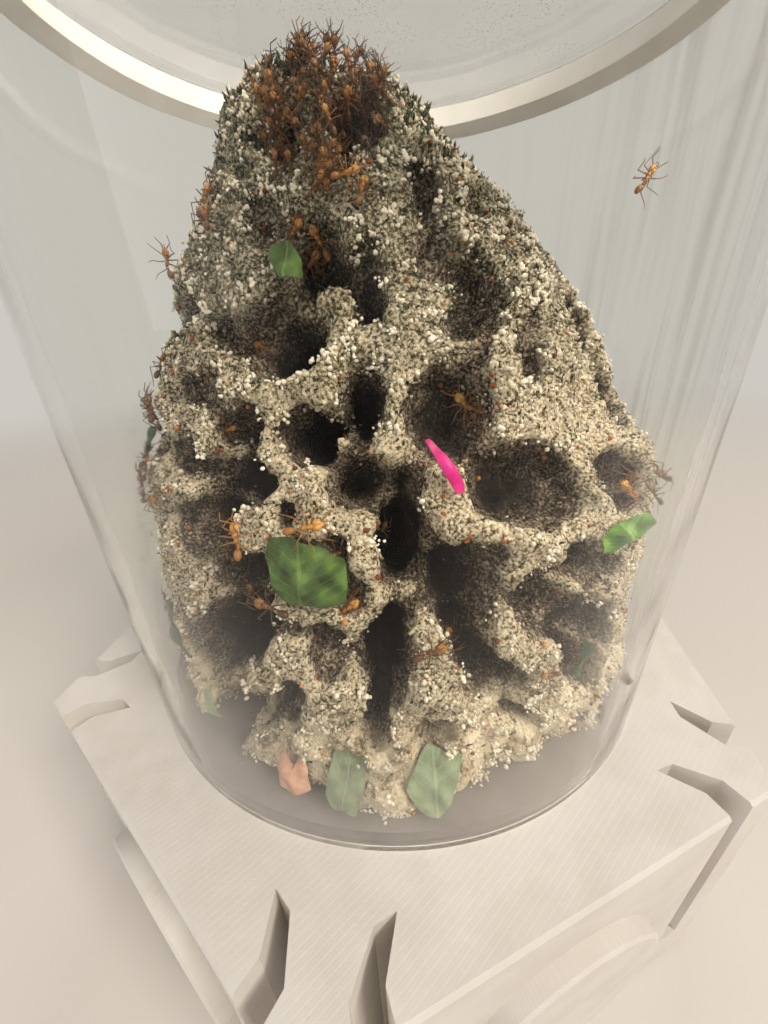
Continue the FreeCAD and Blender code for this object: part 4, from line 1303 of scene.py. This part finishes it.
def footing(skin, across, down):
    # the place on the grown garden that a picture point shows, and the direction out of it
    spot, normal, _, _ = skin.ray_cast(Vector(view['at']) * mm, rayThrough(across, down))
    if spot is None:
        spot, normal, _, _ = skin.find_nearest(onGarden(across, down) * mm)
    spot = spot / mm
    outward = (wallAxes(spot)[2] * 1.2 + normal).normalized()
    return spot + outward * 0.2, outward


def seatAnt(models, spot, outward, forward, pose='walking', size=1.0, tone=0.0, lift=0.0, rear=0.0):
    # a copy with its feet at a place, its back outwards; rear lifts the head, in degrees
    forward = (forward - outward * forward.dot(outward)).normalized()
    angle = math.radians(rear)
    upright = forward * math.cos(angle) + outward * math.sin(angle)
    back = outward * math.cos(angle) - forward * math.sin(angle)
    place = Matrix((upright.cross(back), upright, back)).transposed().to_4x4() @ Matrix.Scale(size, 4)
    place.translation = spot + outward * lift
    mesh = models[pose].data.copy()
    mesh.transform(Matrix.Scale(mm, 4) @ place)
    paintCorners(mesh, 'tone', np.clip(readCorners(mesh, 'tone') + tone, 0, 1))
    return addPiece('ant', mesh)


def seatSeen(models, skin, at, head, **rest):
    spot, outward = footing(skin, *at)
    return seatAnt(models, spot, outward, headInPicture(head), **rest)


def seatCrowded(models, skin):
    angle, away = chance.uniform(0, 2 * math.pi), math.sqrt(chance.random())
    across = crowd['middle'][0] + crowd['spread'][0] * away * math.cos(angle)
    down = crowd['middle'][1] + crowd['spread'][1] * away * math.sin(angle)
    return seatSeen(
        models, skin, (across, down), chance.normal(*crowd['heads']),
        pose=list(antLimbs)[int(chance.integers(3))], size=chance.uniform(*crowd['size']),
        tone=chance.uniform(*crowd['tones']), lift=chance.random() ** 1.5 * crowd['pile'],
        rear=chance.uniform(*crowd['rear']))


def seatHidden(models, skin, around, height, head):
    azimuth, heading = math.radians(around), math.radians(head)
    radius = float(gardenRadius(height))
    near = Vector((radius * math.cos(azimuth), radius * math.sin(azimuth), height))
    spot = skin.find_nearest(near * mm)[0] / mm
    aside, upward, outward = wallAxes(spot)
    return seatAnt(models, spot + outward * 0.3, outward,
                   aside * math.cos(heading) + upward * math.sin(heading))


def seatOnTube(models, at, head, size, tone):
    track = placesAlongRay(*at, tubeInside['start'], tubeInside['end'], tubeInside['count'])
    inside = np.hypot(track[:, 0], track[:, 1]) < tubeInside['radius']
    spot = Vector(track[np.flatnonzero(inside)[0]])
    inward = Vector((-spot.x, -spot.y, 0)).normalized()
    return seatAnt(models, spot, inward, headInPicture(head), size=size, tone=tone)


def addAnts(body):
    models = {pose: modelAnt(pose) for pose in antLimbs}
    skin = skinOf(body)
    ants = [seatSeen(models, skin, **seen) for seen in seenAnts]
    ants += [seatCrowded(models, skin) for _ in range(crowd['count'])]
    ants += [seatHidden(models, skin, **hidden) for hidden in hiddenAnts]
    ants += [seatOnTube(models, **seen) for seen in tubeAnts]
    removePieces(*models.values())
    workers = joinPieces(ants, 'worker_ants_group')
    giveFinish(workers, antFinish())
    inChamber(workers, 'worker_ants')
    print('ants seated:', len(ants), 'with', len(workers.data.polygons), 'faces')


# Finishes on the pieces that stay as they are.

def dressFrame():
    white = printedFinish('printed_white', False)
    dress = dict(
        base_tile=printedFinish('printed_tile', True), passage_bush=white, lid_ring=white,
        chamber_tube=acrylicFinish('clear_wall', wallFilm, films['dampAndPaintedStreaks']),
        chamber_floor=acrylicFinish('clear_floor', floorFilm, films['mistAndShade']),
        lid_window=acrylicFinish('clear_window', windowFilm, films['dampAndPaintedStreaks']),
    )
    for number in range(1, 7):
        dress['port_plug_%d' % number] = white
    for name, finish in dress.items():
        giveFinish(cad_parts[name], finish)
    print('frame dressed')


# Floor, backdrop and light.

setting = dict(
    pale=(206, 201, 194), lightAround=0.28, floorTint=(222, 217, 210), floorRoughness=0.7,
    floorSize=9000, floorHeight=-0.05, fadeFrom=230.0, fadeTo=760.0,
)


def addFloor():
    # takes the shadow and fades into the pale room
    finish = Finish('floor')
    lit = finish.principled({
        'Base Color': shade(setting['floorTint']), 'Roughness': setting['floorRoughness']})
    paleGlow = finish.node('ShaderNodeEmission', None, {'Color': shade(setting['pale'])})
    away = finish.node('ShaderNodeVectorMath', dict(operation='LENGTH'), {0: finish.place}, out='Value')
    fade = away.ramp(setting['fadeFrom'] * mm, setting['fadeTo'] * mm) * finish.seen()
    deselectAll()
    bpy.ops.mesh.primitive_plane_add(size=setting['floorSize'] * mm,
                                     location=(0, 0, setting['floorHeight'] * mm))
    floor = bpy.context.object
    floor.name = 'floor'
    giveFinish(floor, finish.surface(finish.mixShaders(fade, lit, paleGlow)))


def addRoom():
    # pale to look at, dimmer as light
    room = bpy.data.worlds.new('room')
    bpy.context.scene.world = room
    room.use_nodes = True
    tree = ShaderTree(room.node_tree)
    light, pale = [
        tree.node('ShaderNodeBackground', None, {'Color': shade(setting['pale']), 'Strength': strength})
        for strength in (setting['lightAround'], 1.0)]
    tree.node('ShaderNodeOutputWorld', None, {'Surface': tree.mixShaders(tree.seen(), light, pale)})
    print('setting placed')


lamps = (
    dict(name='keyLight', at=(430, -790, 880), aim=(0, 0, 70), wide=360, power=11.0, tint=(255, 246, 234)),
    dict(name='fillLight', at=(-940, -380, 400), aim=(0, 0, 80), wide=640, power=3.4, tint=(250, 247, 244)),
    dict(name='topLight', at=(0, 120, 1100), aim=(0, 0, 60), wide=560, power=1.2, tint=(255, 248, 238)),
    dict(name='backLight', at=(420, 640, 960), aim=(0, 0, 80), wide=480, power=2.0, tint=(255, 249, 242)),
)


def addLamp(name, at, aim, wide, power, tint):
    toward = Vector(aim) - Vector(at)
    deselectAll()
    bpy.ops.object.light_add(type='AREA', location=Vector(at) * mm,
                             rotation=toward.to_track_quat('-Z', 'Y').to_euler())
    lamp = bpy.context.object
    lamp.name = name
    lamp.data.size = wide * mm
    lamp.data.energy = power
    lamp.data.color = shade(tint)[:3]
    lamp.visible_transmission = False  # lights, but isn't seen through the tube


bpy.context.scene.view_settings.view_transform = 'Standard'
addCamera()
dressFrame()
addFloor()
addRoom()
for lamp in lamps:
    addLamp(**lamp)
print('lamps placed')
fungusBody = growGarden()
addLeaves(fungusBody)
coverWithGrains(fungusBody)
addShreds(fungusBody)
addAnts(fungusBody)
